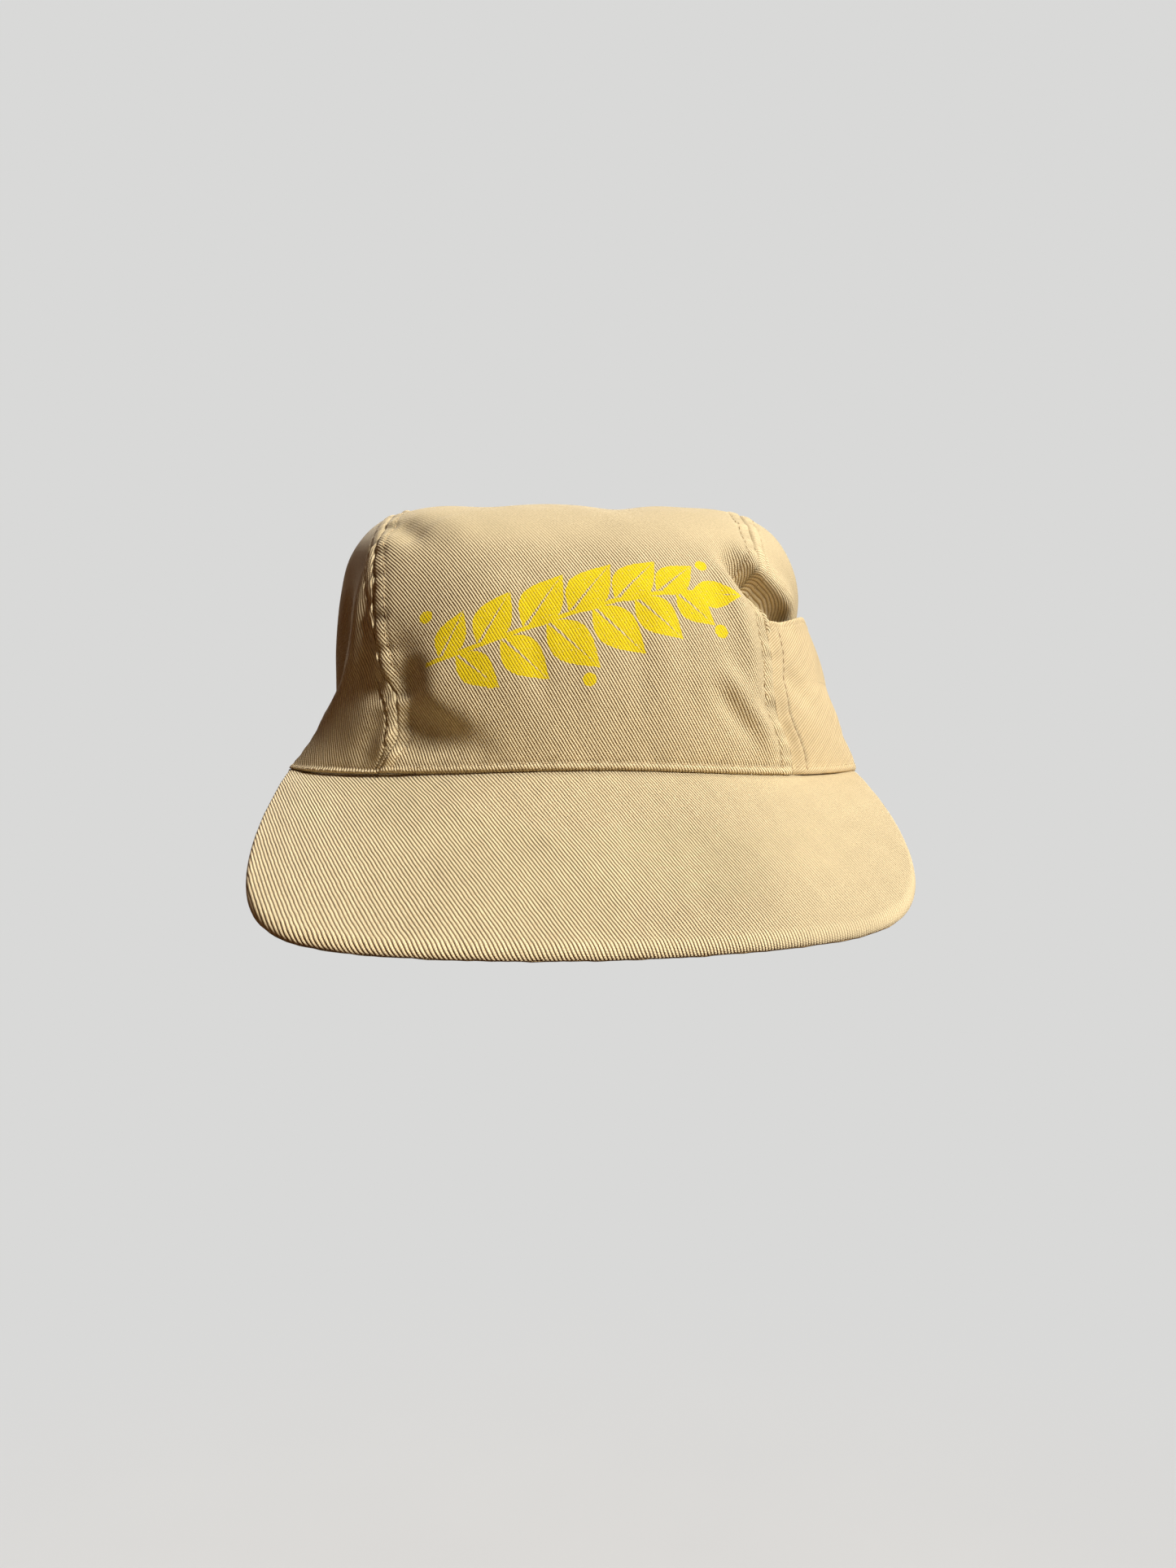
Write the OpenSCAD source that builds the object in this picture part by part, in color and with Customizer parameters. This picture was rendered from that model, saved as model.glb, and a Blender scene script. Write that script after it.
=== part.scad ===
// Panel cap of cotton twill with a stiff visor, a side pocket and a snap strap.
// The band plane is z = 0, its centre is the origin and the visor points along -Y.
// Left and right are the wearer's own, so left is +X. All sizes are in millimetres.

/* [Crown] */
// Width of the crown over the ears
crown_w = 171; // [166:1:178]
// Length of the crown from forehead to back
crown_l = 202; // [196:1:208]
// Height of the crown above the band
crown_h = 97; // [90:1:106]
// Distance between the two long seams
strip_w = 122; // [114:1:126]
// Arch angle at which the front panel ends, 90 is the top
front_end = 75; // [60:1:82]
// Thickness of the twill
cloth_t = 1; // [0.8:0.1:1.2]
// Height over which the cloth flares into the ends of the visor
flare_h = 30; // [22:1:40]
// Depth of the dent in the cloth behind the pocket mouth
dent_depth = 7; // [0:0.5:8]

/* [Visor] */
// Radius of the seam between visor and crown
seam_r = 130; // [124:1:140]
// Half of the straight width between the two ends of that seam
seam_half = 95; // [90:1:97]
// Forward reach of the visor in front of the seam
visor_reach = 68; // [56:1:74]
// Fall of the visor per length along its centre line
visor_fall = 0.625; // [0.5:0.005:0.8]
// Loss of that fall at the two ends
visor_ease = 0.4; // [0.1:0.01:0.45]
// Radius of the front edge
front_r = 300; // [200:5:340]
// Sharpness of the two front corners
corner_power = 10; // [7:1:12]
// Outward run of the two end edges
end_splay = 0; // [0:0.01:0.08]
// Thickness of the stiffener board
board_t = 1.8; // [1.2:0.1:2.4]
// Width of the folded cloth edge outside the board
edge_w = 1.6; // [1:0.1:2.5]

/* [Pocket] */
// Height of the pocket mouth above the band
pocket_h = 54; // [46:1:60]
// Place of the rear edge of the pocket along Y
pocket_back = 10; // [0:1:20]
// Gap of the pocket mouth
mouth_gap = 1.4; // [0:0.1:3]
// Standing out of the pocket between mouth and band
belly = 6.4; // [4:0.2:7]

/* [Inside] */
// Height of the sweatband
band_h = 32; // [28:1:34]
// Thickness of the sweatband
band_t = 1.2; // [0.8:0.1:1.5]
// Width of the tapes over the seams
tape_w = 16; // [12:1:18]
// Thickness of the tapes
tape_t = 0.6; // [0.4:0.1:0.8]

/* [Closure] */
// Width of the arch opening at the back
arch_w = 84; // [78:1:90]
// Height of the arch opening
arch_h = 46; // [42:1:50]
// Width of the binding on the edge of the arch
bind_w = 8; // [6:0.5:9]
// Thickness of the binding cloth
bind_t = 0.7; // [0.5:0.1:0.8]
// Height of both straps
strap_w = 16; // [14:1:18]
// Thickness of both straps
strap_t = 1.3; // [1.1:0.1:1.4]
// Distance from peg to peg
peg_pitch = 9.4; // [9:0.1:9.8]
// Radius of a peg at its foot
peg_r = 2.2; // [2:0.1:2.3]
// Height of a peg
peg_h = 1.9; // [1.6:0.1:2]
// Radius of a hole
hole_r = 2.65; // [2.6:0.05:2.8]

/* [Hidden] */
$fn = 48;
arch_power = 3;
half_w = crown_w / 2;
half_l = crown_l / 2;
seam_x = strip_w / 2;
// Plan of the visor seam, an arc about [0, arc_y]
arc_y = seam_r - half_l;
arc_end = asin(seam_half / seam_r);
end_y = arc_y - seam_r * cos(arc_end);
// Place on the plain rim that is drawn out to the end of the visor
corner_y = -end_y;
corner_x = half_w * pow(1 - pow(corner_y / half_l, 3), 1 / 3);
corner_s = atan2(corner_x / half_w, corner_y / half_l);
// Visor layers, measured from the middle of the board
cover_t = cloth_t;
stack_t = board_t / 2 + cover_t;
// Closure, the straps bend about [0, strap_cy]
strap_cy = half_l - half_w * half_w / half_l;
rim_r = half_l - strap_cy;
bind_in = cloth_t / 2 + 0.2;
bind_out = bind_in + bind_t;
hole_r0 = rim_r - cloth_t / 2 - bind_out - 0.3 - strap_t;
peg_r0 = hole_r0 - 0.2 - strap_t;
hinge_r = hole_r0 + strap_t / 2;
pitch_a = peg_pitch / hinge_r * 180 / PI;
tip_a = 2 * pitch_a + (hole_r + 2) / hinge_r * 180 / PI;
tip_r = strap_w * 0.62;
tip_d = tip_r - sqrt(tip_r * tip_r - pow(strap_w / 2 + 0.05, 2));
strap_z = 1.5;
hinge_a = 31;
tab_a = hinge_a + (strap_t / 2 + 0.3) / hinge_r * 180 / PI;
root_a = 44;
// Sampling of the cloth
arch_cols = [for (k = [0 : 8]) arch_w / 2 * sin(90 * k / 8)];
rim_cols = [for (k = [1 : 4]) arch_w / 2 + (seam_x - arch_w / 2) * k / 4];
half_cols = concat(arch_cols, rim_cols);
full_cols = concat([for (k = [12 : -1 : 1]) -half_cols[k]], half_cols);
front_n = 17;
top_n = 15;
front_rows = [for (i = [0 : front_n]) front_end * i / front_n];
top_rows = [for (i = [1 : top_n]) front_end + (180 - front_end) * i / top_n];
side_rows = concat(front_rows, top_rows);

// Length factor of a rounded square with the given power in direction a
function gauge(a, n) = pow(pow(abs(cos(a)), n) + pow(abs(sin(a)), n), 1 / n);
function unit(v) = v / norm(v);
function mix(a, b, f) = a + (b - a) * f;
function flat(rows) = [for (r = rows) for (p = r) p];

// Squareness of the crown across its arch, fuller on top and round at the back
function side_power(t) = 2.5 + 0.5 * cos(t) + 4 * pow(sin(t), 6);

// Plain crown; t runs over the arch from the forehead to the back, s from side to side
function plain(t, s) =
    let (k = gauge(s, side_power(t)), m = gauge(t, arch_power))
    [half_w * sin(s) / k,
     -half_l * cos(t) / m * cos(s) / k,
     crown_h * sin(t) / m * cos(s) / k];

// Shift of the plain rim to the seam of the visor and back to the head
function rim_shift(s) =
    let (b = plain(0, s), fore = abs(b.y) > corner_y)
    let (w = fore ? pow(abs(b.x) / corner_x, 6) : pow(abs(b.y) / corner_y, 3))
    let (x = sign(b.x) * (abs(b.x) + (seam_half - corner_x) * w))
    [x - b.x, fore ? arc_y - sqrt(seam_r * seam_r - x * x) - b.y : 0, 0];

// Crown with the flare into the ends of the visor
function flared(t, s) =
    let (p = plain(t, s))
    let (f = pow(max(0, 1 - p.z / flare_h), 1.2) * max(0, cos(t)))
    p + f * rim_shift(s);

// Dent in the cloth above the pocket, on the left only
function dent(p) =
    p.x > 0 ? dent_depth * exp(-pow((p.y + 42) / 22, 2) - pow((p.z - 48) / 15, 2)) : 0;

function raw_normal(t, s) =
    unit(cross(flared(t, s + 1) - flared(t, s - 1),
               flared(min(t + 1, 180), s) - flared(max(t - 1, 0), s)));

// Outward direction of the cloth, level along the rim
function normal(t, s) =
    abs(s) > 89.5 ? [sign(s), 0, 0] :
    let (n = raw_normal(t, max(-80, min(80, s))))
    t < 0.01 || t > 179.99 ? unit([n.x, n.y, 0]) : n;

// Point of the crown cloth, o outside its outer face
function crown(t, s, o = 0) =
    let (p = flared(t, s))
    p + (o - dent(p)) * normal(t, s);

// Side angle at which the crown is x wide
function side_angle(x, t) =
    let (n = side_power(t), u = abs(x) / half_w)
    sign(x) * atan2(u, pow(1 - pow(u, n), 1 / n));

function strip(t, x, o) = crown(t, side_angle(x, t), o);

// Arch and side angles of the crown at the place [y, z] on the left
function wall_angles(y, z) =
    let (t = z < 0.001 ? (y > 0 ? 180 : 0) : atan2(z / crown_h, -y / half_l))
    let (g = min(1, gauge(t, arch_power) * norm([y / half_l, z / crown_h])), n = side_power(t))
    [t, atan2(pow(max(0, 1 - pow(g, n)), 1 / n), g)];

// Arch angle at the back at which the strip is z high at x
function back_angle(x, z, t = 175, k = 6) =
    k == 0 ? t :
    let (n = side_power(t), g = pow(1 - pow(abs(x) / half_w, n), 1 / n))
    let (c = z / crown_h / g)
    back_angle(x, z, 180 - atan2(c, pow(1 - pow(c, arch_power), 1 / arch_power)), k - 1);

function arch_z(x) = arch_h * sqrt(max(0, 1 - pow(2 * x / arch_w, 2)));
function panel_end(x) = x < arch_w / 2 - 0.01 ? back_angle(x, arch_z(x)) : 180;

// Faces of a closed sheet between two grids of points
function at(i, j, cols, pole) = pole && j == cols - 1 ? cols - 1 : i * cols + j;
function quad(a, b, c, d) = [[a, b, c], [a, c, d]];
function whole(f) = f[0] != f[1] && f[1] != f[2] && f[0] != f[2];

module sheet(outer, inner, pole = false) {
    n = len(outer) - 1;
    m = len(outer[0]) - 1;
    c = m + 1;
    k = (n + 1) * c;
    skin = [for (i = [0 : n - 1]) for (j = [0 : m - 1])
        let (a = at(i, j, c, pole), b = at(i + 1, j, c, pole))
        let (d = at(i + 1, j + 1, c, pole), e = at(i, j + 1, c, pole))
        each concat(quad(a, b, d, e), quad(k + a, k + e, k + d, k + b))];
    ends = [for (j = [0 : m - 1])
        let (a = at(0, j, c, pole), b = at(0, j + 1, c, pole))
        let (d = at(n, j, c, pole), e = at(n, j + 1, c, pole))
        each concat(quad(a, b, k + b, k + a), quad(d, k + d, k + e, e))];
    sides = [for (i = [0 : n - 1])
        let (a = at(i, m, c, pole), b = at(i + 1, m, c, pole))
        let (d = at(i, 0, c, pole), e = at(i + 1, 0, c, pole))
        each concat(quad(a, b, k + b, k + a), quad(d, k + d, k + e, e))];
    faces = [for (f = concat(skin, ends, sides)) if (whole(f)) f];
    polyhedron(concat(flat(outer), flat(inner)), faces, convexity = 10);
}

// Front panel, from the visor seam up and over the brow of the crown
function front_grid(o) = [for (t = front_rows) [for (x = full_cols) strip(t, x, o)]];

module front_panel() {
    color("burlywood") sheet(front_grid(0), front_grid(-cloth_t));
}

// Half of the top and back, cut out at the arch
function top_row(i, x) = mix(front_end, 180, i / top_n) - (180 - panel_end(x)) * pow(i / top_n, 3);
function top_grid(o) = [for (i = [0 : top_n]) [for (x = half_cols) strip(top_row(i, x), x, o)]];

module top_panel_left() {
    color("tan") sheet(top_grid(0), top_grid(-cloth_t));
}

module top_panel_right() {
    color("tan") mirror([1, 0, 0]) sheet(top_grid(0), top_grid(-cloth_t));
}

// Side panel, from the long seam down to the band, with the corner over the end of the visor
function side_s(t, j, side) =
    let (s0 = side_angle(seam_x, t), s1 = max(corner_s, s0 + 6))
    side * (j <= 6 ? mix(s0, s1, j / 6) : mix(s1, 90, (j - 6) / 7));
function side_grid(o) = [for (t = side_rows) [for (j = [0 : 13]) crown(t, side_s(t, j, 1), o)]];
function turned_grid(o) = [for (t = side_rows) [for (j = [0 : 13]) crown(t, side_s(t, j, -1), o)]];
function flip(rows) = [for (r = rows) [for (p = r) [-p.x, p.y, p.z]]];

module side_panel_left() {
    color("wheat") sheet(side_grid(0), side_grid(-cloth_t), true);
}

module side_panel_right() {
    color("wheat") mirror([1, 0, 0])
        sheet(flip(turned_grid(0)), flip(turned_grid(-cloth_t)), true);
}

// Pocket on the left side panel, sewn down in front, below and behind, open on top
pocket_rows = [for (i = [0 : 10]) i / 10];
pocket_cols = [for (j = [0 : 14]) j / 14];
pocket_top = wall_row(pocket_h);
function wall_row(z, lo = 0, hi = 60, k = 14) =
    let (t = (lo + hi) / 2)
    k == 0 ? t :
    plain(t, side_angle(seam_x, t)).z > z ? wall_row(z, lo, t, k - 1) : wall_row(z, t, hi, k - 1);
function pocket_point(v, w, o) =
    let (t = pocket_top * v, f = plain(t, side_angle(seam_x, t)))
    let (a = wall_angles(mix(f.y, pocket_back, w), f.z))
    let (out = pow(sin(180 * w), 0.7) * (mouth_gap * v + belly * sin(180 * v)))
    flared(a[0], a[1]) + (0.3 + out + o) * normal(a[0], a[1]);
function pocket_grid(o) = [for (v = pocket_rows) [for (w = pocket_cols) pocket_point(v, w, o)]];

module pocket_patch() {
    color("navajowhite") sheet(pocket_grid(cloth_t), pocket_grid(0));
}

// Sweatband inside the rim, open at the arch
band_end = 138;
function band_point(a, z, o) =
    let (b = half_l * pow(1 - pow(z / crown_h, 3), 1 / 3))
    let (y = -b * cos(a) / gauge(a, 2 + max(0, cos(a))))
    let (q = wall_angles(y, z))
    let (p = flared(q[0], q[1]), n = normal(q[0], q[1]))
    let (c = p + (o - dent(p)) * n)
    [a < 0 ? -c.x : c.x, c.y, c.z];
function band_grid(o) =
    [for (z = [0 : band_h / 4 : band_h]) [for (a = [-band_end : 6 : band_end]) band_point(a, z, o)]];

module sweatband() {
    color("dimgray") sheet(band_grid(-cloth_t - 0.3), band_grid(-cloth_t - 0.3 - band_t));
}

// Tapes over the seams, from the sweatband in front to the sweatband at the back
tape_in = cloth_t + 0.45;
tape_from = wall_row(band_h + 3);
tape_to = back_angle(seam_x, band_h + 8);
function tape_grid(side, o) =
    [for (i = [0 : 30]) [for (k = [-1 : 1])
        strip(mix(tape_from, tape_to, i / 30), side * seam_x + k * tape_w / 2, o)]];

module seam_tape_left() {
    color("gray") sheet(tape_grid(1, -tape_in), tape_grid(1, -tape_in - tape_t));
}

module seam_tape_right() {
    color("gray") sheet(tape_grid(-1, -tape_in), tape_grid(-1, -tape_in - tape_t));
}

// Tape across the end of the front panel
tape_a = tape_w / 2 / crown_h * 180 / PI;
function cross_grid(o) =
    [for (k = [-1 : 1]) [for (j = [-9 : 9])
        strip(front_end + k * tape_a, (seam_x - tape_w / 2 - 0.5) * j / 9, o)]];

module seam_tape_top() {
    color("gray") sheet(cross_grid(-tape_in), cross_grid(-tape_in - tape_t));
}

// Tape down the middle of the back, from the cross tape to the binding
middle_to = back_angle(0, arch_h + bind_w + 1.5);
function middle_grid(o) =
    [for (i = [0 : 14]) [for (k = [-1 : 1])
        strip(mix(front_end + tape_a + 0.4, middle_to, i / 14), k * tape_w / 2, o)]];

module seam_tape_back() {
    color("gray") sheet(middle_grid(-tape_in), middle_grid(-tape_in - tape_t));
}

// Binding folded over the edge of the arch; b is the distance from that edge into the panel
function bind_point(l, b, o) =
    let (x = (arch_w / 2 + b) * cos(l), z = (arch_h + b) * sin(l))
    let (t = l <= 0 || l >= 180 ? 180 : back_angle(x, z))
    strip(t, x, o - cloth_t / 2);
function bind_ring(l) = [for (q = bind_shape) bind_point(l, q[0], q[1])];
bind_shape = [[bind_w, bind_in], [bind_w, bind_out], [-1, bind_out], [-1, -bind_out],
    [bind_w, -bind_out], [bind_w, -bind_in], [-0.25, -bind_in], [-0.25, bind_in]];
bind_stations = [for (l = [0 : 6 : 180]) l];

module arch_binding() {
    rings = [for (l = bind_stations) bind_ring(l)];
    n = len(rings) - 1;
    skin = [for (i = [0 : n - 1]) for (j = [0 : 7])
        let (a = 8 * i + j, b = 8 * i + (j + 1) % 8)
        each quad(a, a + 8, b + 8, b)];
    first = [each quad(0, 1, 2, 7), each quad(2, 3, 6, 7), each quad(3, 4, 5, 6)];
    last = [for (f = first) [8 * n + f[2], 8 * n + f[1], 8 * n + f[0]]];
    color("peru") polyhedron(flat(rings), concat(skin, first, last), convexity = 10);
}

// Visor, a stiff board between two covers; a runs along the seam, r outward from [0, arc_y]
function fall(a) = visor_fall - visor_ease * pow(a / arc_end, 2);
function end_line(a) =
    (seam_half + 0.4 + end_splay * (end_y - arc_y)) / max(0.001, sin(a) - end_splay * cos(a));
function front_line(a) =
    let (d = arc_y + half_l + visor_reach - front_r)
    d * cos(a) + sqrt(pow(front_r, 2) - pow(d * sin(a), 2));
function visor_edge(a) =
    pow(pow(end_line(abs(a)), -corner_power) + pow(front_line(a), -corner_power), -1 / corner_power);
function visor_point(a, r, o) =
    let (k = fall(a), c = sqrt(1 + k * k))
    [r * sin(a), arc_y - r * cos(a), -k * (r - seam_r + cloth_t) - 0.05 + (o - stack_t) * c];
visor_cols = [for (j = [-22 : 22]) arc_end * j / 22];
cover_rows = [0, 0.35, 0.7, 1, 12, 24, 36, 48, 60];

// Radius of a cover row, the first ones lie on the folded edge outside the board
function cover_r(a, q) =
    let (e = max(seam_r + 0.2, visor_edge(a)), b = max(seam_r, e - edge_w))
    q <= 1 ? mix(e, b, q) : mix(b, seam_r - cloth_t, (q - 1) / 59);
function nose(q) = q >= 1 ? 1 : sqrt(1 - pow(1 - q, 2)) * 0.75 + 0.25;
function cover_grid(low, side) =
    [for (q = cover_rows) [for (a = visor_cols)
        visor_point(a, cover_r(a, q), side * (low ? (q >= 1 ? board_t / 2 : 0) : stack_t * nose(q)))]];

module visor_board() {
    rows = [for (q = cover_rows) if (q >= 1) q];
    up = [for (q = rows) [for (a = visor_cols) visor_point(a, cover_r(a, q), board_t / 2)]];
    down = [for (q = rows) [for (a = visor_cols) visor_point(a, cover_r(a, q), -board_t / 2)]];
    color("white") sheet(up, down);
}

module visor_top_cover() {
    color("burlywood") sheet(cover_grid(false, 1), cover_grid(true, 1));
}

module visor_under_cover() {
    color("tan") sheet(cover_grid(true, -1), cover_grid(false, -1));
}

// Part of a strap between two angles from +Y towards +X
module strap_arc(r, from, to, w) {
    translate([0, strap_cy, strap_z + (strap_w - w) / 2])
        rotate([0, 0, 90 - to])
            rotate_extrude(angle = to - from, $fn = 180)
                translate([r, 0]) square([strap_t, w]);
}

// Drill or post that points outward at angle a
module outward(r, a, z) {
    translate([r * sin(a), strap_cy + r * cos(a), z]) rotate([-90, 0, -a]) children();
}

// Strap between two angles; its free end at tip is rounded off in side view
module strap(r, from, to, tip) {
    dir = sign(tip - (from + to) / 2);
    x = r * sin(tip) - dir * tip_r;
    difference() {
        strap_arc(r, from, to, strap_w);
        translate([x, half_l, strap_z + strap_w / 2])
            difference() {
                translate([dir * (tip_r - tip_d + 5), 0, 0]) cube([10, 40, strap_w + 2], center = true);
                rotate([90, 0, 0]) cylinder(r = tip_r, h = 60, center = true);
            }
    }
}

module peg() {
    ball = (peg_r * peg_r + peg_h * peg_h) / (2 * peg_h);
    intersection() {
        translate([0, 0, peg_h - ball]) sphere(ball);
        translate([0, 0, -0.6]) cylinder(r = peg_r + 1, h = peg_h + 1);
    }
}

module peg_strap() {
    color("olive") union() {
        strap(peg_r0, -root_a, tip_a + 4, tip_a);
        for (k = [-3 : 2])
            outward(peg_r0 + strap_t, k * pitch_a, strap_z + strap_w / 2) peg();
    }
}

module hole_strap_tab() {
    color("darkkhaki") strap_arc(hole_r0, tab_a, root_a, strap_w);
}

module hole_strap() {
    color("khaki") difference() {
        strap(hole_r0, -tip_a - 4, hinge_a, -tip_a);
        for (k = [-2 : 3])
            outward(hole_r0 - 2, k * pitch_a, strap_z + strap_w / 2) cylinder(r = hole_r, h = strap_t + 4);
    }
}

front_panel();
top_panel_left();
top_panel_right();
side_panel_left();
side_panel_right();
pocket_patch();
sweatband();
seam_tape_left();
seam_tape_right();
seam_tape_top();
seam_tape_back();
arch_binding();
visor_board();
visor_top_cover();
visor_under_cover();
peg_strap();
hole_strap_tab();
hole_strap();
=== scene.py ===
"""Looks of a panelled twill cap: crown cloths, visor, side pocket, lining and snap strap.

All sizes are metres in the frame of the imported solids: the band plane is z = 0 and the visor
points along -Y. Left and right are the wearer's own, so left is +X.
"""

import logging
import math
from dataclasses import dataclass, field, replace
from enum import Enum, IntEnum
from typing import Callable, Optional, Union

import bmesh
import bpy
import numpy as np
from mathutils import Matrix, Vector


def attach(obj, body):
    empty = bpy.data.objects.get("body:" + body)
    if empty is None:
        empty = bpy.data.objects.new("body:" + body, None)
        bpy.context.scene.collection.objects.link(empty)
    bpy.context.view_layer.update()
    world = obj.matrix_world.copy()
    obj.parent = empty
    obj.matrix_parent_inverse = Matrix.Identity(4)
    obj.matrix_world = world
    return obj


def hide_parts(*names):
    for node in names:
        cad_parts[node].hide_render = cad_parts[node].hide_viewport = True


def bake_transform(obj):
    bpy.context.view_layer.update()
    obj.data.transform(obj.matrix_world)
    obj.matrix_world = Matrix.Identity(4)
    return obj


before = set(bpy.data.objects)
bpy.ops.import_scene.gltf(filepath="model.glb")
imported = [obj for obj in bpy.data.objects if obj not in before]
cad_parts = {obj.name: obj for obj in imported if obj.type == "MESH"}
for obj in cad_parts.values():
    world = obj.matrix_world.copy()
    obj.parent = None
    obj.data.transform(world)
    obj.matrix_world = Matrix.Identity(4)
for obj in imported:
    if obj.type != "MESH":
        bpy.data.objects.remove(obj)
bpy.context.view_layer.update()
LOG = logging.getLogger("cap")
MM = 0.001
Array = np.ndarray
Material = bpy.types.Material
Socket = bpy.types.NodeSocket
Pair = tuple[float, float]
Triple = tuple[float, float, float]
Colour = tuple[float, float, float, float]
Keys = tuple[Pair, ...]
Value = Union[float, Colour, Socket]


# ---- small tools

def step(low: float, high: float, x: Array) -> Array:
    """Smooth step from 0 at low to 1 at high."""
    f = np.clip((x - low) / (high - low), 0.0, 1.0)
    return f * f * (3.0 - 2.0 * f)


def bell(x: Array, width: float) -> Array:
    """Bell curve of height 1 that falls to 1/e at width."""
    return np.exp(-np.square(x / width))


def mix(a: Array, b: Array, f: Array) -> Array:
    """Straight blend from a at f = 0 to b at f = 1."""
    return a + (b - a) * f


def unit(v: Array) -> Array:
    """Vectors of length one along the last axis."""
    return v / np.maximum(np.linalg.norm(v, axis=-1, keepdims=True), 1e-12)


def run_length(points: Array, axis: int) -> Array:
    """Length walked along one axis of a grid of points, zero at its start."""
    leg = np.linalg.norm(np.diff(points, axis=axis), axis=-1)
    return np.concatenate([np.zeros_like(np.take(leg, [0], axis)), np.cumsum(leg, axis)], axis)


def through(keys: Keys, x: Array) -> Array:
    """Smooth curve through the keys.

    Args:
        keys: Places and values, in rising order of place.
        x: Places to read.

    Returns:
        The values at x, held constant beyond the first and last key.
    """
    kx, ky = np.array(keys, float).T
    slope = np.gradient(ky, kx)
    i = np.clip(np.searchsorted(kx, x) - 1, 0, len(kx) - 2)
    h = kx[i + 1] - kx[i]
    f = np.clip((x - kx[i]) / h, 0.0, 1.0)
    g = 1.0 - f
    rise = f * g * (g * slope[i] - f * slope[i + 1]) * h
    return ky[i] * g * g * (1 + 2 * f) + ky[i + 1] * f * f * (3 - 2 * f) + rise


@dataclass(frozen=True)
class Spacing:
    """Division of a length into steps that are fine at both ends and coarse between."""

    total: float
    fine: float
    coarse: float
    reach: float
    samples: int = 4001

    def places(self) -> Array:
        """Rising fractions of the length, the first 0 and the last 1."""
        d = np.linspace(0.0, self.total, self.samples)
        near = np.minimum(d, self.total - d)
        density = 1.0 / mix(self.fine, self.coarse, step(0.0, self.reach, near))
        count = np.concatenate([[0.0], np.cumsum((density[1:] + density[:-1]) / 2 * np.diff(d))])
        even = np.linspace(0.0, count[-1], int(math.ceil(count[-1])) + 1)
        return np.interp(even, count, d) / self.total


def ripple(points: Array, wave: float, seed: int, terms: int = 7) -> Array:
    """Soft seeded unevenness in space, about -1 to 1, with waves near the given length."""
    rng = np.random.default_rng(seed)
    total = np.zeros(points.shape[:-1])
    for _ in range(terms):
        way = rng.normal(size=3)
        way *= 2 * math.pi / (wave * rng.uniform(0.7, 1.5)) / np.linalg.norm(way)
        total += np.sin(points @ way + rng.uniform(0, 2 * math.pi))
    return total / math.sqrt(terms * 2.0)


def pucker(along: Array, seed: int, wave: float = 8.5 * MM) -> Array:
    """Uneven gathering along a seam, about -1 to 1."""
    shares, turn, most = (0.62, 1.0, 1.55, 2.4), 6.28, 2.6
    rng = np.random.default_rng(int(seed))
    total = np.zeros_like(along)
    for share in shares:
        total += np.sin(2 * math.pi * along / (wave * share) + rng.uniform(0, turn))
    return total / most


@dataclass(frozen=True)
class Ridge:
    """A raised line beside an edge, or a groove where the height is below zero."""

    height: float
    width: float
    place: float = 0.0

    def lift(self, d: Array) -> Array:
        """Height at a distance from the edge."""
        return self.height * bell(d - self.place, self.width)


@dataclass(frozen=True)
class Sway:
    """Seeded unevenness of a cloth, with the size and length of its waves."""

    size: float
    wave: float
    seed: int

    def in_space(self, points: Array, shift: int = 0) -> Array:
        """Unevenness at points; shift gives another piece its own."""
        return self.size * ripple(points, self.wave, self.seed + shift)

    def along(self, run: Array) -> Array:
        """Unevenness at lengths along a seam."""
        return self.size * pucker(run, self.seed, self.wave)


def tone(r: int, g: int, b: int) -> Colour:
    """Linear colour from the eight-bit values that it shows on a screen."""
    lin = [c / 12.92 if c <= 0.04045 else ((c + 0.055) / 1.055) ** 2.4
           for c in (r / 255, g / 255, b / 255)]
    return (lin[0], lin[1], lin[2], 1.0)


# ---- finishes

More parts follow.
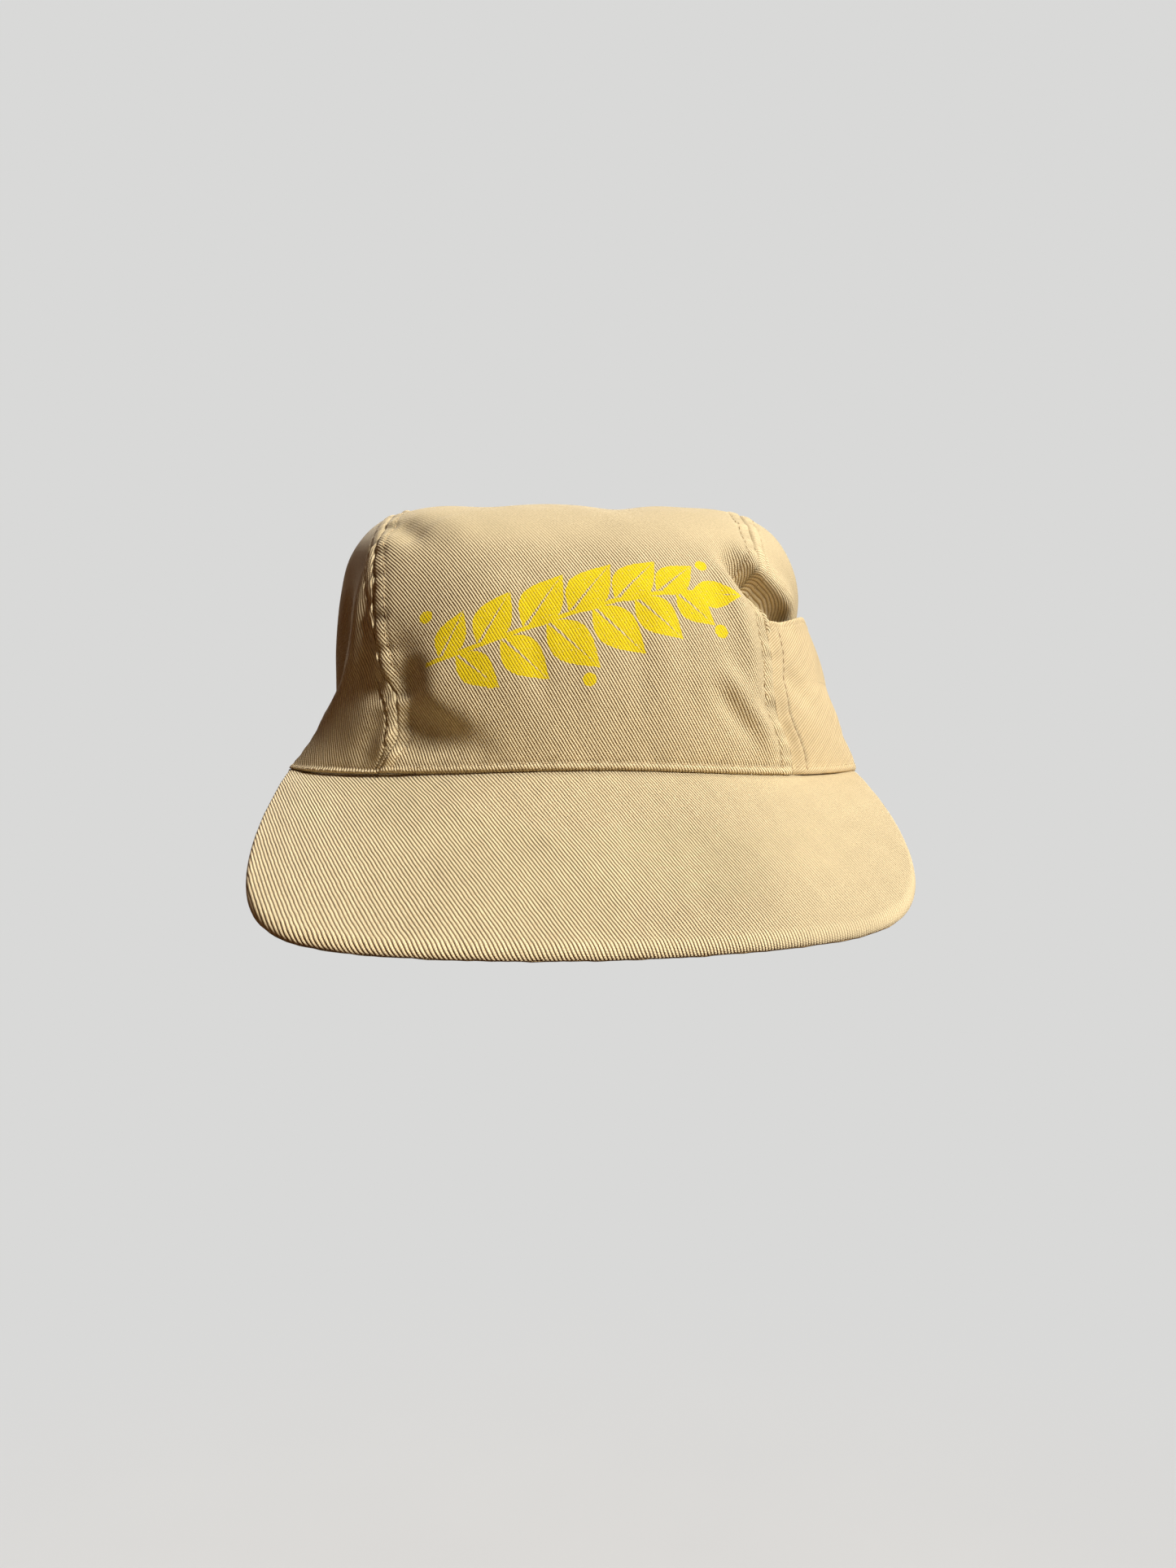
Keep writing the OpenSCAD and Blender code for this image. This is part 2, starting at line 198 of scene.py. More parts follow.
class Desk:
    """A material under construction, with short calls for its nodes."""

    def __init__(self, name: str) -> None:
        """Starts a material of that name with a principled shader."""
        self.material = bpy.data.materials.new(name)
        self.material.use_nodes = True
        self.tree = self.material.node_tree
        self.tree.nodes.clear()
        self.shader = self.add("ShaderNodeBsdfPrincipled")
        out = self.add("ShaderNodeOutputMaterial")
        self.tree.links.new(self.shader.outputs["BSDF"], out.inputs["Surface"])

    def add(self, kind: str, **props: object) -> bpy.types.Node:
        """Adds a node and sets its properties."""
        node = self.tree.nodes.new(kind)
        for key, value in props.items():
            setattr(node, key, value)
        return node

    def put(self, value: Value, socket: Socket) -> None:
        """Links a socket, or sets a plain value."""
        if isinstance(value, bpy.types.NodeSocket):
            self.tree.links.new(value, socket)
        else:
            socket.default_value = value

    def math(self, op: str, a: Value, b: Value = 0.0, c: Value = 0.0) -> Socket:
        """One arithmetic node."""
        node = self.add("ShaderNodeMath", operation=op)
        for value, socket in zip((a, b, c), node.inputs):
            self.put(value, socket)
        return node.outputs[0]

    def times(self, a: Value, b: Value) -> Socket:
        """Product of two numbers."""
        return self.math("MULTIPLY", a, b)

    def minus(self, a: Value, b: Value) -> Socket:
        """First number less the second."""
        return self.math("SUBTRACT", a, b)

    def line(self, a: Value, b: Value, c: Value) -> Socket:
        """Product of two numbers with a third added."""
        return self.math("MULTIPLY_ADD", a, b, c)

    def map(self, value: Value, low: float, high: float, to_low: float, to_high: float,
            smooth: bool = False) -> Socket:
        """Clamped change of range."""
        node = self.add("ShaderNodeMapRange", clamp=True)
        if smooth:
            node.interpolation_type = "SMOOTHSTEP"
        for v, socket in zip((value, low, high, to_low, to_high), node.inputs):
            self.put(v, socket)
        return node.outputs[0]

    def blend(self, factor: Value, a: Value, b: Value) -> Socket:
        """Mix of two colours."""
        node = self.add("ShaderNodeMix", data_type="RGBA")
        self.put(factor, node.inputs["Factor"])
        self.put(a, node.inputs[6])
        self.put(b, node.inputs[7])
        return node.outputs[2]

    def scale(self, colour: Socket, factor: Value) -> Socket:
        """Colour times a number."""
        node = self.add("ShaderNodeVectorMath", operation="SCALE")
        self.put(colour, node.inputs[0])
        self.put(factor, node.inputs["Scale"])
        return node.outputs[0]

    def uv(self, name: str) -> Socket:
        """A map of the mesh."""
        return self.add("ShaderNodeUVMap", uv_map=name).outputs[0]

    def stretch(self, vector: Socket, size: Triple) -> Socket:
        """Vector times a fixed one."""
        node = self.add("ShaderNodeVectorMath", operation="MULTIPLY")
        self.put(vector, node.inputs[0])
        node.inputs[1].default_value = size
        return node.outputs[0]

    def split(self, vector: Socket) -> tuple[Socket, Socket]:
        """First two parts of a vector."""
        node = self.add("ShaderNodeSeparateXYZ")
        self.put(vector, node.inputs[0])
        return node.outputs[0], node.outputs[1]

    def noise(self, vector: Socket, scale: float, detail: float = 2.0, rough: float = 0.5) -> Socket:
        """Cloudy value from 0 to 1."""
        node = self.add("ShaderNodeTexNoise")
        self.put(vector, node.inputs["Vector"])
        node.inputs["Scale"].default_value = scale
        node.inputs["Detail"].default_value = detail
        node.inputs["Roughness"].default_value = rough
        return node.outputs[0]

    def attribute(self, name: str) -> Socket:
        """A number kept on the mesh."""
        return self.add("ShaderNodeAttribute", attribute_name=name).outputs["Fac"]

    def dress(self, colour: Value, rough: Value) -> None:
        """Feeds the shader's colour and roughness."""
        self.put(colour, self.shader.inputs["Base Color"])
        self.put(rough, self.shader.inputs["Roughness"])

    def bump(self, height: Socket, distance: float) -> None:
        """Feeds the shader's normal from a height."""
        node = self.add("ShaderNodeBump")
        node.inputs["Strength"].default_value = 1.0
        node.inputs["Distance"].default_value = distance
        self.put(height, node.inputs["Height"])
        self.put(node.outputs[0], self.shader.inputs["Normal"])

    def fix(self, **values: object) -> None:
        """Sets shader sockets that are the same all over; underscores stand for spaces."""
        for key, value in values.items():
            self.shader.inputs[key.replace("_", " ")].default_value = value


@dataclass(frozen=True)
class SprigPrint:
    """A plain sprig of leaves, printed in one colour of ink."""

    centre: Pair = (-0.0010, 0.0485)
    ink: Colour = tone(250, 224, 16)
    # deep is the ink's tone down in the grooves, darker as painted shade of the wales under the ink
    deep: Colour = tone(220, 182, 6)
    rise: float = 0.16
    bow: float = 5.0 * MM
    bow_len: float = 26.0 * MM
    bow_from: float = 0.4
    drop: float = 1.0 * MM
    half_run: float = 47.0 * MM
    stem: float = 0.8 * MM
    rib: Pair = (0.5 * MM, -0.55 * MM)
    skew: float = 0.28
    ragged: float = 1.1 * MM
    soft_edge: Pair = (-0.12 * MM, 0.16 * MM)
    bare_speck: float = 0.35
    thin_ink: float = 0.80
    # place along the stem, direction in degrees, length and half width of each leaf, in mm
    leaves: tuple[tuple[float, float, float, float], ...] = (
        (-42, 64, 17, 5.0), (-30, 60, 20, 6.0), (-16, 57, 22, 6.6), (-2, 54, 22, 6.6),
        (12, 50, 20, 6.3), (25, 46, 17, 5.4), (-37, -40, 18, 5.2), (-23, -42, 20, 6.2),
        (-9, -42, 22, 6.6), (5, -42, 22, 6.6), (18, -40, 20, 6.0), (31, -36, 16, 5.0),
        (36, 8, 17, 5.0))
    # centre and radius of each berry, in mm
    berries: tuple[Triple, ...] = (
        (-47, 3, 2.2), (-26, -21, 1.9), (4, -20.5, 2.1), (40, 21, 2.0), (46, -2, 2.3))

    def stem_y(self, x: float) -> float:
        """Height of the stem at x."""
        return self.rise * x + self.bow * math.sin(x / self.bow_len + self.bow_from) - self.drop

    def inside(self, desk: Desk, uv: Socket) -> Socket:
        """Distance inside the outline of the sprig.

        Args:
            desk: Material that takes the nodes.
            uv: Map of the panel in metres.

        Returns:
            A socket in metres, above zero on the ink.
        """
        x, y = desk.split(uv)
        x = desk.minus(x, self.centre[0])
        y = desk.minus(y, self.centre[1])
        wave = desk.math("SINE", desk.line(x, 1 / self.bow_len, self.bow_from))
        line = desk.line(wave, self.bow, desk.line(x, self.rise, -self.drop))
        off = desk.math("ABSOLUTE", desk.minus(y, line))
        total = desk.math("MINIMUM", desk.minus(self.stem, off),
                          desk.minus(self.half_run, desk.math("ABSOLUTE", x)))
        for leaf in self.leaves:
            total = desk.math("MAXIMUM", total, self._leaf(desk, x, y, *leaf))
        for bx, by, r in self.berries:
            dx = desk.minus(x, bx * MM)
            dy = desk.minus(y, by * MM)
            far = desk.math("SQRT", desk.line(dx, dx, desk.times(dy, dy)))
            total = desk.math("MAXIMUM", total, desk.minus(r * MM, far))
        return total

    def cover(self, desk: Desk, uv: Socket, weave: Socket) -> Socket:
        """How far the ink hides the cloth, thinner in the grooves and with bare specks."""
        ragged = desk.line(desk.noise(uv, 900.0, 3.0, 0.7), self.ragged, -self.ragged / 2)
        edge = desk.math("ADD", self.inside(desk, uv), ragged)
        full = desk.map(edge, *self.soft_edge, 0.0, 1.0, True)
        specks = desk.map(desk.noise(uv, 1500.0, 2.0, 0.7), 0.30, 0.40, self.bare_speck, 1.0)
        soak = desk.map(weave, 0.02, 0.4, self.thin_ink, 1.0)
        return desk.times(full, desk.times(specks, soak))

    def _leaf(self, desk: Desk, x: Socket, y: Socket, at: float, way: float, length: float,
              half: float) -> Socket:
        """Distance inside one leaf with a bare midrib."""
        c, s = math.cos(math.radians(way)), math.sin(math.radians(way))
        dx = desk.minus(x, at * MM)
        dy = desk.minus(y, self.stem_y(at * MM))
        run = length * MM
        p = desk.line(dx, c / run, desk.times(dy, s / run))
        q = desk.line(dy, c, desk.times(dx, -s))
        p = desk.math("MINIMUM", desk.math("MAXIMUM", p, -0.5), 1.5)
        # the leaf swells early and runs out to a point
        bent = desk.line(desk.times(p, p), -self.skew, desk.times(p, 1 + self.skew))
        bulge = desk.times(desk.math("SINE", desk.times(bent, math.pi)), half * MM)
        q = desk.math("ABSOLUTE", q)
        rib = desk.line(p, self.rib[1], self.rib[0])
        return desk.math("MINIMUM", desk.minus(bulge, q), desk.minus(q, rib))


@dataclass(frozen=True)
class TwillFinish:
    """Coarse cotton twill with raised slanting wales."""

    name: str
    # ridge is the colour of the raised wales, groove the colour between them; the groove's darker, browner
    # tone is partly the cloth's own and partly painted shade in the grooves
    ridge: Colour = tone(248, 230, 185)
    groove: Colour = tone(134, 95, 46)
    pitch: float = 0.86 * MM
    bead: float = 0.62 * MM
    relief: float = 0.32 * MM
    profile: float = 0.82
    wander: float = 0.36
    lag: float = 0.37
    bead_share: float = 0.15
    yarn: Pair = (0.22, 0.18)
    nap_level: float = 0.62
    nap_relief: float = 0.45
    # share of the attribute of rubbing and painted shade in the cloth's brightness
    wear_and_shade_share: float = 0.38
    ink_gloss: float = 0.18
    artwork: Optional[SprigPrint] = None

    def build(self) -> Material:
        """Builds the material.

        Returns:
            A material that reads the maps Weave and, for artwork, Print, and the nap of the mesh and its
            attribute of rubbing and painted shade.
        """
        desk = Desk(self.name)
        uv = desk.uv("Weave")
        raw, fine = self._weave(desk, uv)
        slub = desk.noise(desk.stretch(uv, (900.0, 45.0, 1.0)), 1.0, 2.0)
        patch = desk.noise(uv, 34.0, 4.0, 0.6)
        streak, even = desk.map(slub, 0.25, 0.75, 0.90, 1.06), desk.map(patch, 0.3, 0.7, 0.95, 1.04)
        shade = desk.times(streak, even)
        nap = desk.attribute("nap")
        fluff = desk.noise(uv, 1250.0, 3.0, 0.7)
        tufts = desk.minus(desk.map(fluff, 0.3, 0.7, 0.82, 1.14), streak)
        dusty = desk.times(desk.line(nap, tufts, streak), even)
        fuzz = desk.times(nap, fluff)
        cover = None
        if self.artwork:
            cover = self.artwork.cover(desk, desk.uv("Print"), raw)
            nap = desk.math("MAXIMUM", nap, desk.times(cover, self.nap_level))
        body = desk.line(nap, desk.minus(self.nap_level, raw), raw)
        height = desk.line(fine, self.yarn[0], desk.line(fuzz, self.nap_relief, body))
        lit = desk.line(fine, self.yarn[1], desk.times(body, 0.92))
        # blend from the groove colour to the ridge colour by wale height: partly the weave's own tones,
        # partly painted shade in the grooves
        colour = desk.blend(lit, self.groove, self.ridge)
        # the mesh's attribute brightens rubbed places and darkens places that get painted shade: sunk seams,
        # deep hollows, the crest, the visor's lower edge and seam, and the pocket's lapped row
        wear_and_painted_shade = desk.line(desk.attribute("wear_and_painted_shade"), self.wear_and_shade_share, 1.0)
        colour = desk.scale(colour, desk.times(dusty, wear_and_painted_shade))
        rough = desk.map(body, 0.0, 1.0, 0.98, 0.86)
        if self.artwork:
            # the ink is deeper in the grooves: painted shade of the wales under it
            ink = desk.blend(body, self.artwork.deep, self.artwork.ink)
            colour = desk.blend(cover, colour, desk.scale(ink, shade))
            rough = desk.line(cover, -self.ink_gloss, rough)
        desk.dress(colour, rough)
        desk.fix(Specular_IOR_Level=0.14, Sheen_Weight=0.10, Sheen_Roughness=0.45)
        desk.bump(height, self.relief)
        return desk.material

    def _weave(self, desk: Desk, uv: Socket) -> tuple[Socket, Socket]:
        """Height of the wales from 0 to 1, and the fine grain of the yarn."""
        across, along = desk.split(uv)
        wander = desk.line(desk.noise(uv, 240.0, 3.0), self.wander, -self.wander / 2)
        place = desk.line(across, 1 / self.pitch, wander)
        wale = desk.math("SINE", desk.times(desk.math("FRACT", place), math.pi))
        ridge = desk.math("POWER", wale, self.profile)
        lag = desk.times(desk.math("FLOOR", place), self.lag)
        turn = desk.line(along, 1 / self.bead, lag)
        bead = desk.math("SINE", desk.times(turn, 2 * math.pi))
        knots = desk.noise(desk.stretch(uv, (0.9 / self.pitch, 0.45 / self.bead, 1.0)), 1.0, 2.0)
        beads = desk.line(bead, self.bead_share, 1 - self.bead_share)
        even = desk.times(beads, desk.map(knots, 0.3, 0.7, 0.84, 1.10))
        return desk.times(ridge, even), desk.noise(uv, 3300.0, 2.0, 0.6)


@dataclass(frozen=True)
class TapeFinish:
    """Plain woven tape: ribs across and along in a close check."""

    name: str
    light: Colour = tone(214, 194, 156)
    dark: Colour = tone(160, 132, 92)
    pitch: float = 0.75 * MM
    relief: float = 0.14 * MM
    yarn: float = 0.35
    wear_and_shade_share: float = 0.2

    def build(self) -> Material:
        """Builds the material from the map Weave and the mesh's attribute of rubbing and painted shade."""
        desk = Desk(self.name)
        uv = desk.uv("Weave")
        across, along = desk.split(uv)
        turn = 2 * math.pi / self.pitch
        a = desk.math("SINE", desk.times(across, turn))
        b = desk.math("SINE", desk.times(along, turn))
        weave = desk.line(desk.times(a, b), 0.5, 0.5)
        fine = desk.noise(uv, 2600.0, 2.0, 0.6)
        height = desk.line(fine, self.yarn, weave)
        colour = desk.blend(desk.times(height, 0.85), self.dark, self.light)
        patch = desk.map(desk.noise(uv, 60.0, 3.0), 0.3, 0.7, 0.93, 1.05)
        # the same attribute of rubbing and painted shade
        wear_and_painted_shade = desk.line(desk.attribute("wear_and_painted_shade"), self.wear_and_shade_share, 1.0)
        desk.dress(desk.scale(colour, desk.times(patch, wear_and_painted_shade)), desk.map(weave, 0.0, 1.0, 0.97, 0.88))
        desk.fix(Specular_IOR_Level=0.2, Sheen_Weight=0.08)
        desk.bump(height, self.relief)
        return desk.material


@dataclass(frozen=True)
class ThreadFinish:
    """Twisted sewing thread."""

    name: str
    light: Colour = tone(226, 202, 158)
    dark: Colour = tone(150, 118, 74)
    twist: float = 0.55 * MM
    fibre: float = 0.3
    relief: float = 0.06 * MM

    def build(self) -> Material:
        """Builds the material from the map Weave: around the thread and along it."""
        desk = Desk(self.name)
        uv = desk.uv("Weave")
        around, along = desk.split(uv)
        turn = desk.line(along, 2 * math.pi / self.twist, around)
        twist = desk.line(desk.math("SINE", turn), 0.5, 0.5)
        fine = desk.noise(desk.stretch(uv, (0.5, 2400.0, 1.0)), 1.0, 2.0)
        height = desk.line(fine, self.fibre, twist)
        desk.dress(desk.blend(desk.times(height, 0.8), self.dark, self.light),
                   desk.map(twist, 0.0, 1.0, 0.85, 0.6))
        desk.fix(Specular_IOR_Level=0.35, Sheen_Weight=0.1)
        desk.bump(height, self.relief)
        return desk.material


@dataclass(frozen=True)
class MouldedFinish:
    """Matt moulded plastic or pressed board, dressed by place in space."""

    name: str
    base: Colour
    fleck: Colour
    rough: Pair = (0.38, 0.6)
    grain: float = 0.03 * MM
    specular: float = 0.45

    def build(self) -> Material:
        """Builds the material from object coordinates."""
        desk = Desk(self.name)
        place = desk.add("ShaderNodeTexCoord").outputs["Object"]
        cloud = desk.noise(place, 60.0, 4.0, 0.6)
        fine = desk.noise(place, 1600.0, 3.0, 0.6)
        scuff = desk.map(desk.noise(place, 260.0, 5.0, 0.7), 0.52, 0.7, 0.0, 0.7)
        colour = desk.blend(desk.map(cloud, 0.3, 0.7, 0.0, 0.5), self.base, self.fleck)
        colour = desk.scale(colour, desk.map(fine, 0.2, 0.8, 0.94, 1.05))
        desk.dress(colour, desk.map(scuff, 0.0, 0.7, *self.rough))
        desk.fix(Specular_IOR_Level=self.specular)
        desk.bump(fine, self.grain)
        return desk.material


# ---- crown form

@dataclass(frozen=True)
class CrownForm:
    """Smooth form of the crown, the same as in the solids.

    t runs over the arch from the forehead (0) over the top to the back (pi), s from side to side.
    """

    half_w: float = 85.5 * MM
    half_l: float = 101.0 * MM
    height: float = 97.0 * MM
    flare_h: float = 30.0 * MM
    seam_x: float = 61.0 * MM
    visor_r: float = 130.0 * MM
    visor_half: float = 95.0 * MM
    front_end: float = math.radians(75)
    arch_w: float = 84.0 * MM
    arch_h: float = 46.0 * MM
    # squareness of the arch; squareness across it at mid height, its sway and its rise on top
    arch_power: float = 3.0
    across_power: Triple = (2.5, 0.5, 4.0)
    top_rise: int = 6
    # how fast the rim is drawn out before and behind the visor's end, and how the flare fades upward
    drawn: tuple[int, int] = (6, 3)
    flare_fade: float = 1.2
    # outward directions: probing steps, limit of the arch part, change to the wall part, level rim
    probe_turn: float = math.radians(0.8)
    probe: float = 0.6 * MM
    arch_limit: float = 1.35
    wall_from: Pair = (0.85, 1.15)
    level_rim: Pair = (-0.5 * MM, 4 * MM)
    # arch angle in degrees and place of the long seams in mm
    seam_right: Keys = (
        (0, 59.6), (2.4, 58.5), (4.6, 57.0), (7.2, 55.9), (9.9, 56.5), (13.5, 57.0), (16.2, 58.2),
        (19, 60.4), (26, 62.6), (33, 63.2), (40, 63.7), (47, 64.6), (57, 64.0), (66, 63), (80, 61.6),
        (100, 61), (180, 61))
    seam_left: Keys = (
        (0, 64.6), (3.4, 65.3), (7.1, 65.0), (12.0, 63.0), (16, 62.7), (20, 62.6), (24.6, 62.4),
        (29, 61.2), (32.3, 60.0), (35, 58.2), (38, 56.8), (41, 57.2), (44.5, 58.8), (50, 59.3), (56, 58.8),
        (62, 58.5), (75, 60), (100, 61), (180, 61))

    @property
    def arc_y(self) -> float:
        """Centre of the visor seam along Y."""
        return self.visor_r - self.half_l

    @property
    def arc_end(self) -> float:
        """Angle of the ends of the visor seam."""
        return math.asin(self.visor_half / self.visor_r)

    @property
    def corner(self) -> Pair:
        """Place on the plain rim that is drawn out to the end of the visor."""
        y = self.visor_r * math.cos(self.arc_end) - self.arc_y
        return self.half_w * float(self.oval(y / self.half_l)), y

    @staticmethod
    def oval(share: Array) -> Array:
        """Half width of the rounded oval at a share of its half length."""
        return np.maximum(0, 1 - np.abs(share) ** 3) ** (1 / 3)

    @staticmethod
    def gauge(a: Array, n: Array) -> Array:
        """Length factor of a rounded square in direction a."""
        return (np.abs(np.cos(a)) ** n + np.abs(np.sin(a)) ** n) ** (1 / n)

    def power(self, t: Array) -> Array:
        """Squareness of the crown across its arch."""
        middle, sway, rise = self.across_power
        return middle + sway * np.cos(t) + rise * np.sin(t) ** self.top_rise

    def plain(self, t: Array, s: Array) -> Array:
        """Points of the crown before the flare."""
        t, s = np.broadcast_arrays(np.asarray(t, float), np.asarray(s, float))
        k, m = self.gauge(s, self.power(t)), self.gauge(t, self.arch_power)
        return np.stack([self.half_w * np.sin(s) / k, -self.half_l * np.cos(t) / m * np.cos(s) / k,
                         self.height * np.sin(t) / m * np.cos(s) / k], -1)

    def flared(self, t: Array, s: Array) -> Array:
        """Points of the crown with the flare into the ends of the visor."""
        t, s = np.broadcast_arrays(np.asarray(t, float), np.asarray(s, float))
        p, b = self.plain(t, s), self.plain(np.zeros_like(t), s)
        cx, cy = self.corner
        bx, by = np.abs(b[..., 0]), np.abs(b[..., 1])
        fore = by > cy
        w = np.where(fore, (bx / cx) ** self.drawn[0], (by / cy) ** self.drawn[1])
        x = bx + (self.visor_half - cx) * w
        y = self.arc_y - np.sqrt(np.maximum(self.visor_r ** 2 - x * x, 0))
        f = np.maximum(0, 1 - p[..., 2] / self.flare_h) ** self.flare_fade * np.maximum(0, np.cos(t))
        p[..., 0] += f * np.sign(b[..., 0]) * (x - bx)
        p[..., 1] += f * np.where(fore, y - b[..., 1], 0)
        return p

    def side_angle(self, x: Array, t: Array) -> Array:
        """Side angle at which the crown is x wide."""
        n, u = self.power(t), np.abs(x) / self.half_w
        return np.sign(x) * np.arctan2(u, np.maximum(0, 1 - u ** n) ** (1 / n))

    def wall_angles(self, y: Array, z: Array, side: Array) -> tuple[Array, Array]:
        """Arch and side angles of the plain crown at a place seen from its side."""
        z = np.maximum(z, 0)
        t = np.where(z < 1e-7, np.where(y > 0, math.pi, 0.0), np.arctan2(z / self.height, -y / self.half_l))
        g = np.minimum(1, self.gauge(t, self.arch_power) * np.hypot(y / self.half_l, z / self.height))
        n = self.power(t)
        return t, side * np.arctan2(np.maximum(0, 1 - g ** n) ** (1 / n), g)

    def normal(self, t: Array, s: Array) -> Array:
        """Outward direction of the cloth, level along the rim."""
        t, s = np.broadcast_arrays(np.asarray(t, float), np.asarray(s, float))
        h, d = self.probe_turn, self.probe
        u = np.clip(s, -self.arch_limit, self.arch_limit)
        t_low, t_high = np.maximum(t - h, 0), np.minimum(t + h, math.pi)
        over = unit(np.cross(self.flared(t, u + h) - self.flared(t, u - h),
                             self.flared(t_high, u) - self.flared(t_low, u)))
        p, side = self.plain(t, s), np.sign(s)
        y, z = p[..., 1], p[..., 2]
        fore, aft, high, low = (self.flared(*self.wall_angles(*at, side))
                                for at in ((y - d, z), (y + d, z), (y, z + d), (y, z - d)))
        wall = unit(np.cross(aft - fore, high - low) * side[..., None])
        share = step(*self.wall_from, np.abs(s))[..., None]
        n = unit(mix(over, np.nan_to_num(wall), share))
        n[..., 2] *= step(*self.level_rim, z)
        return unit(n)

    def seam_at(self, t: Array, side: int) -> Array:
        """Place of a long seam; side is 1 on the wearer's left and -1 on the right."""
        keys = self.seam_left if side > 0 else self.seam_right
        return side * through(keys, np.degrees(t)) * MM

    def back_angle(self, x: Array, z: Array) -> Array:
        """Arch angle at the back at which the strip is z high at x."""
        first_guess, rounds, most = math.radians(175), 8, 0.9999
        t = np.full(np.broadcast(x, z).shape, first_guess)
        for _ in range(rounds):
            n = self.power(t)
            g = np.maximum(1e-6, 1 - (np.abs(x) / self.half_w) ** n) ** (1 / n)
            c = np.clip(z / self.height / g, 0, most)
            t = math.pi - np.arctan2(c, self.oval(c))
        return t

    def panel_end(self, x: Array) -> Array:
        """Arch angle at which the top panels end, at the arch or at the rim."""
        z = self.arch_h * np.sqrt(np.maximum(0, 1 - np.square(2 * x / self.arch_w)))
        return np.where(np.abs(x) < self.arch_w / 2 - 1e-5, self.back_angle(x, z), math.pi)


@dataclass(frozen=True)
class Fold:
    """A soft fold of the cloth along a broken line, in mm; taper is the share over which its ends fade."""

    path: tuple[Triple, ...]
    width: float
    depth: float
    taper: float = 0.22

    def lift(self, p: Array) -> Array:
        """Height of the fold at points, above zero outward."""
        line = np.array(self.path) * MM
        leg = np.linalg.norm(np.diff(line, axis=0), axis=1)
        start = np.concatenate([[0], np.cumsum(leg)])
        best = np.full(p.shape[:-1], 1e9)
        along = np.zeros(p.shape[:-1])
        for a, b, d, s in zip(line[:-1], line[1:], leg, start):
            f = np.clip((p - a) @ (b - a) / d ** 2, 0, 1)
            far = np.linalg.norm(p - (a + f[..., None] * (b - a)), axis=-1)
            along = np.where(far < best, s + f * d, along)
            best = np.minimum(best, far)
        u = along / start[-1]
        ends = step(-self.taper, self.taper, u) * step(-self.taper, self.taper, 1 - u)
        return self.depth * MM * bell(best, self.width * MM) * ends


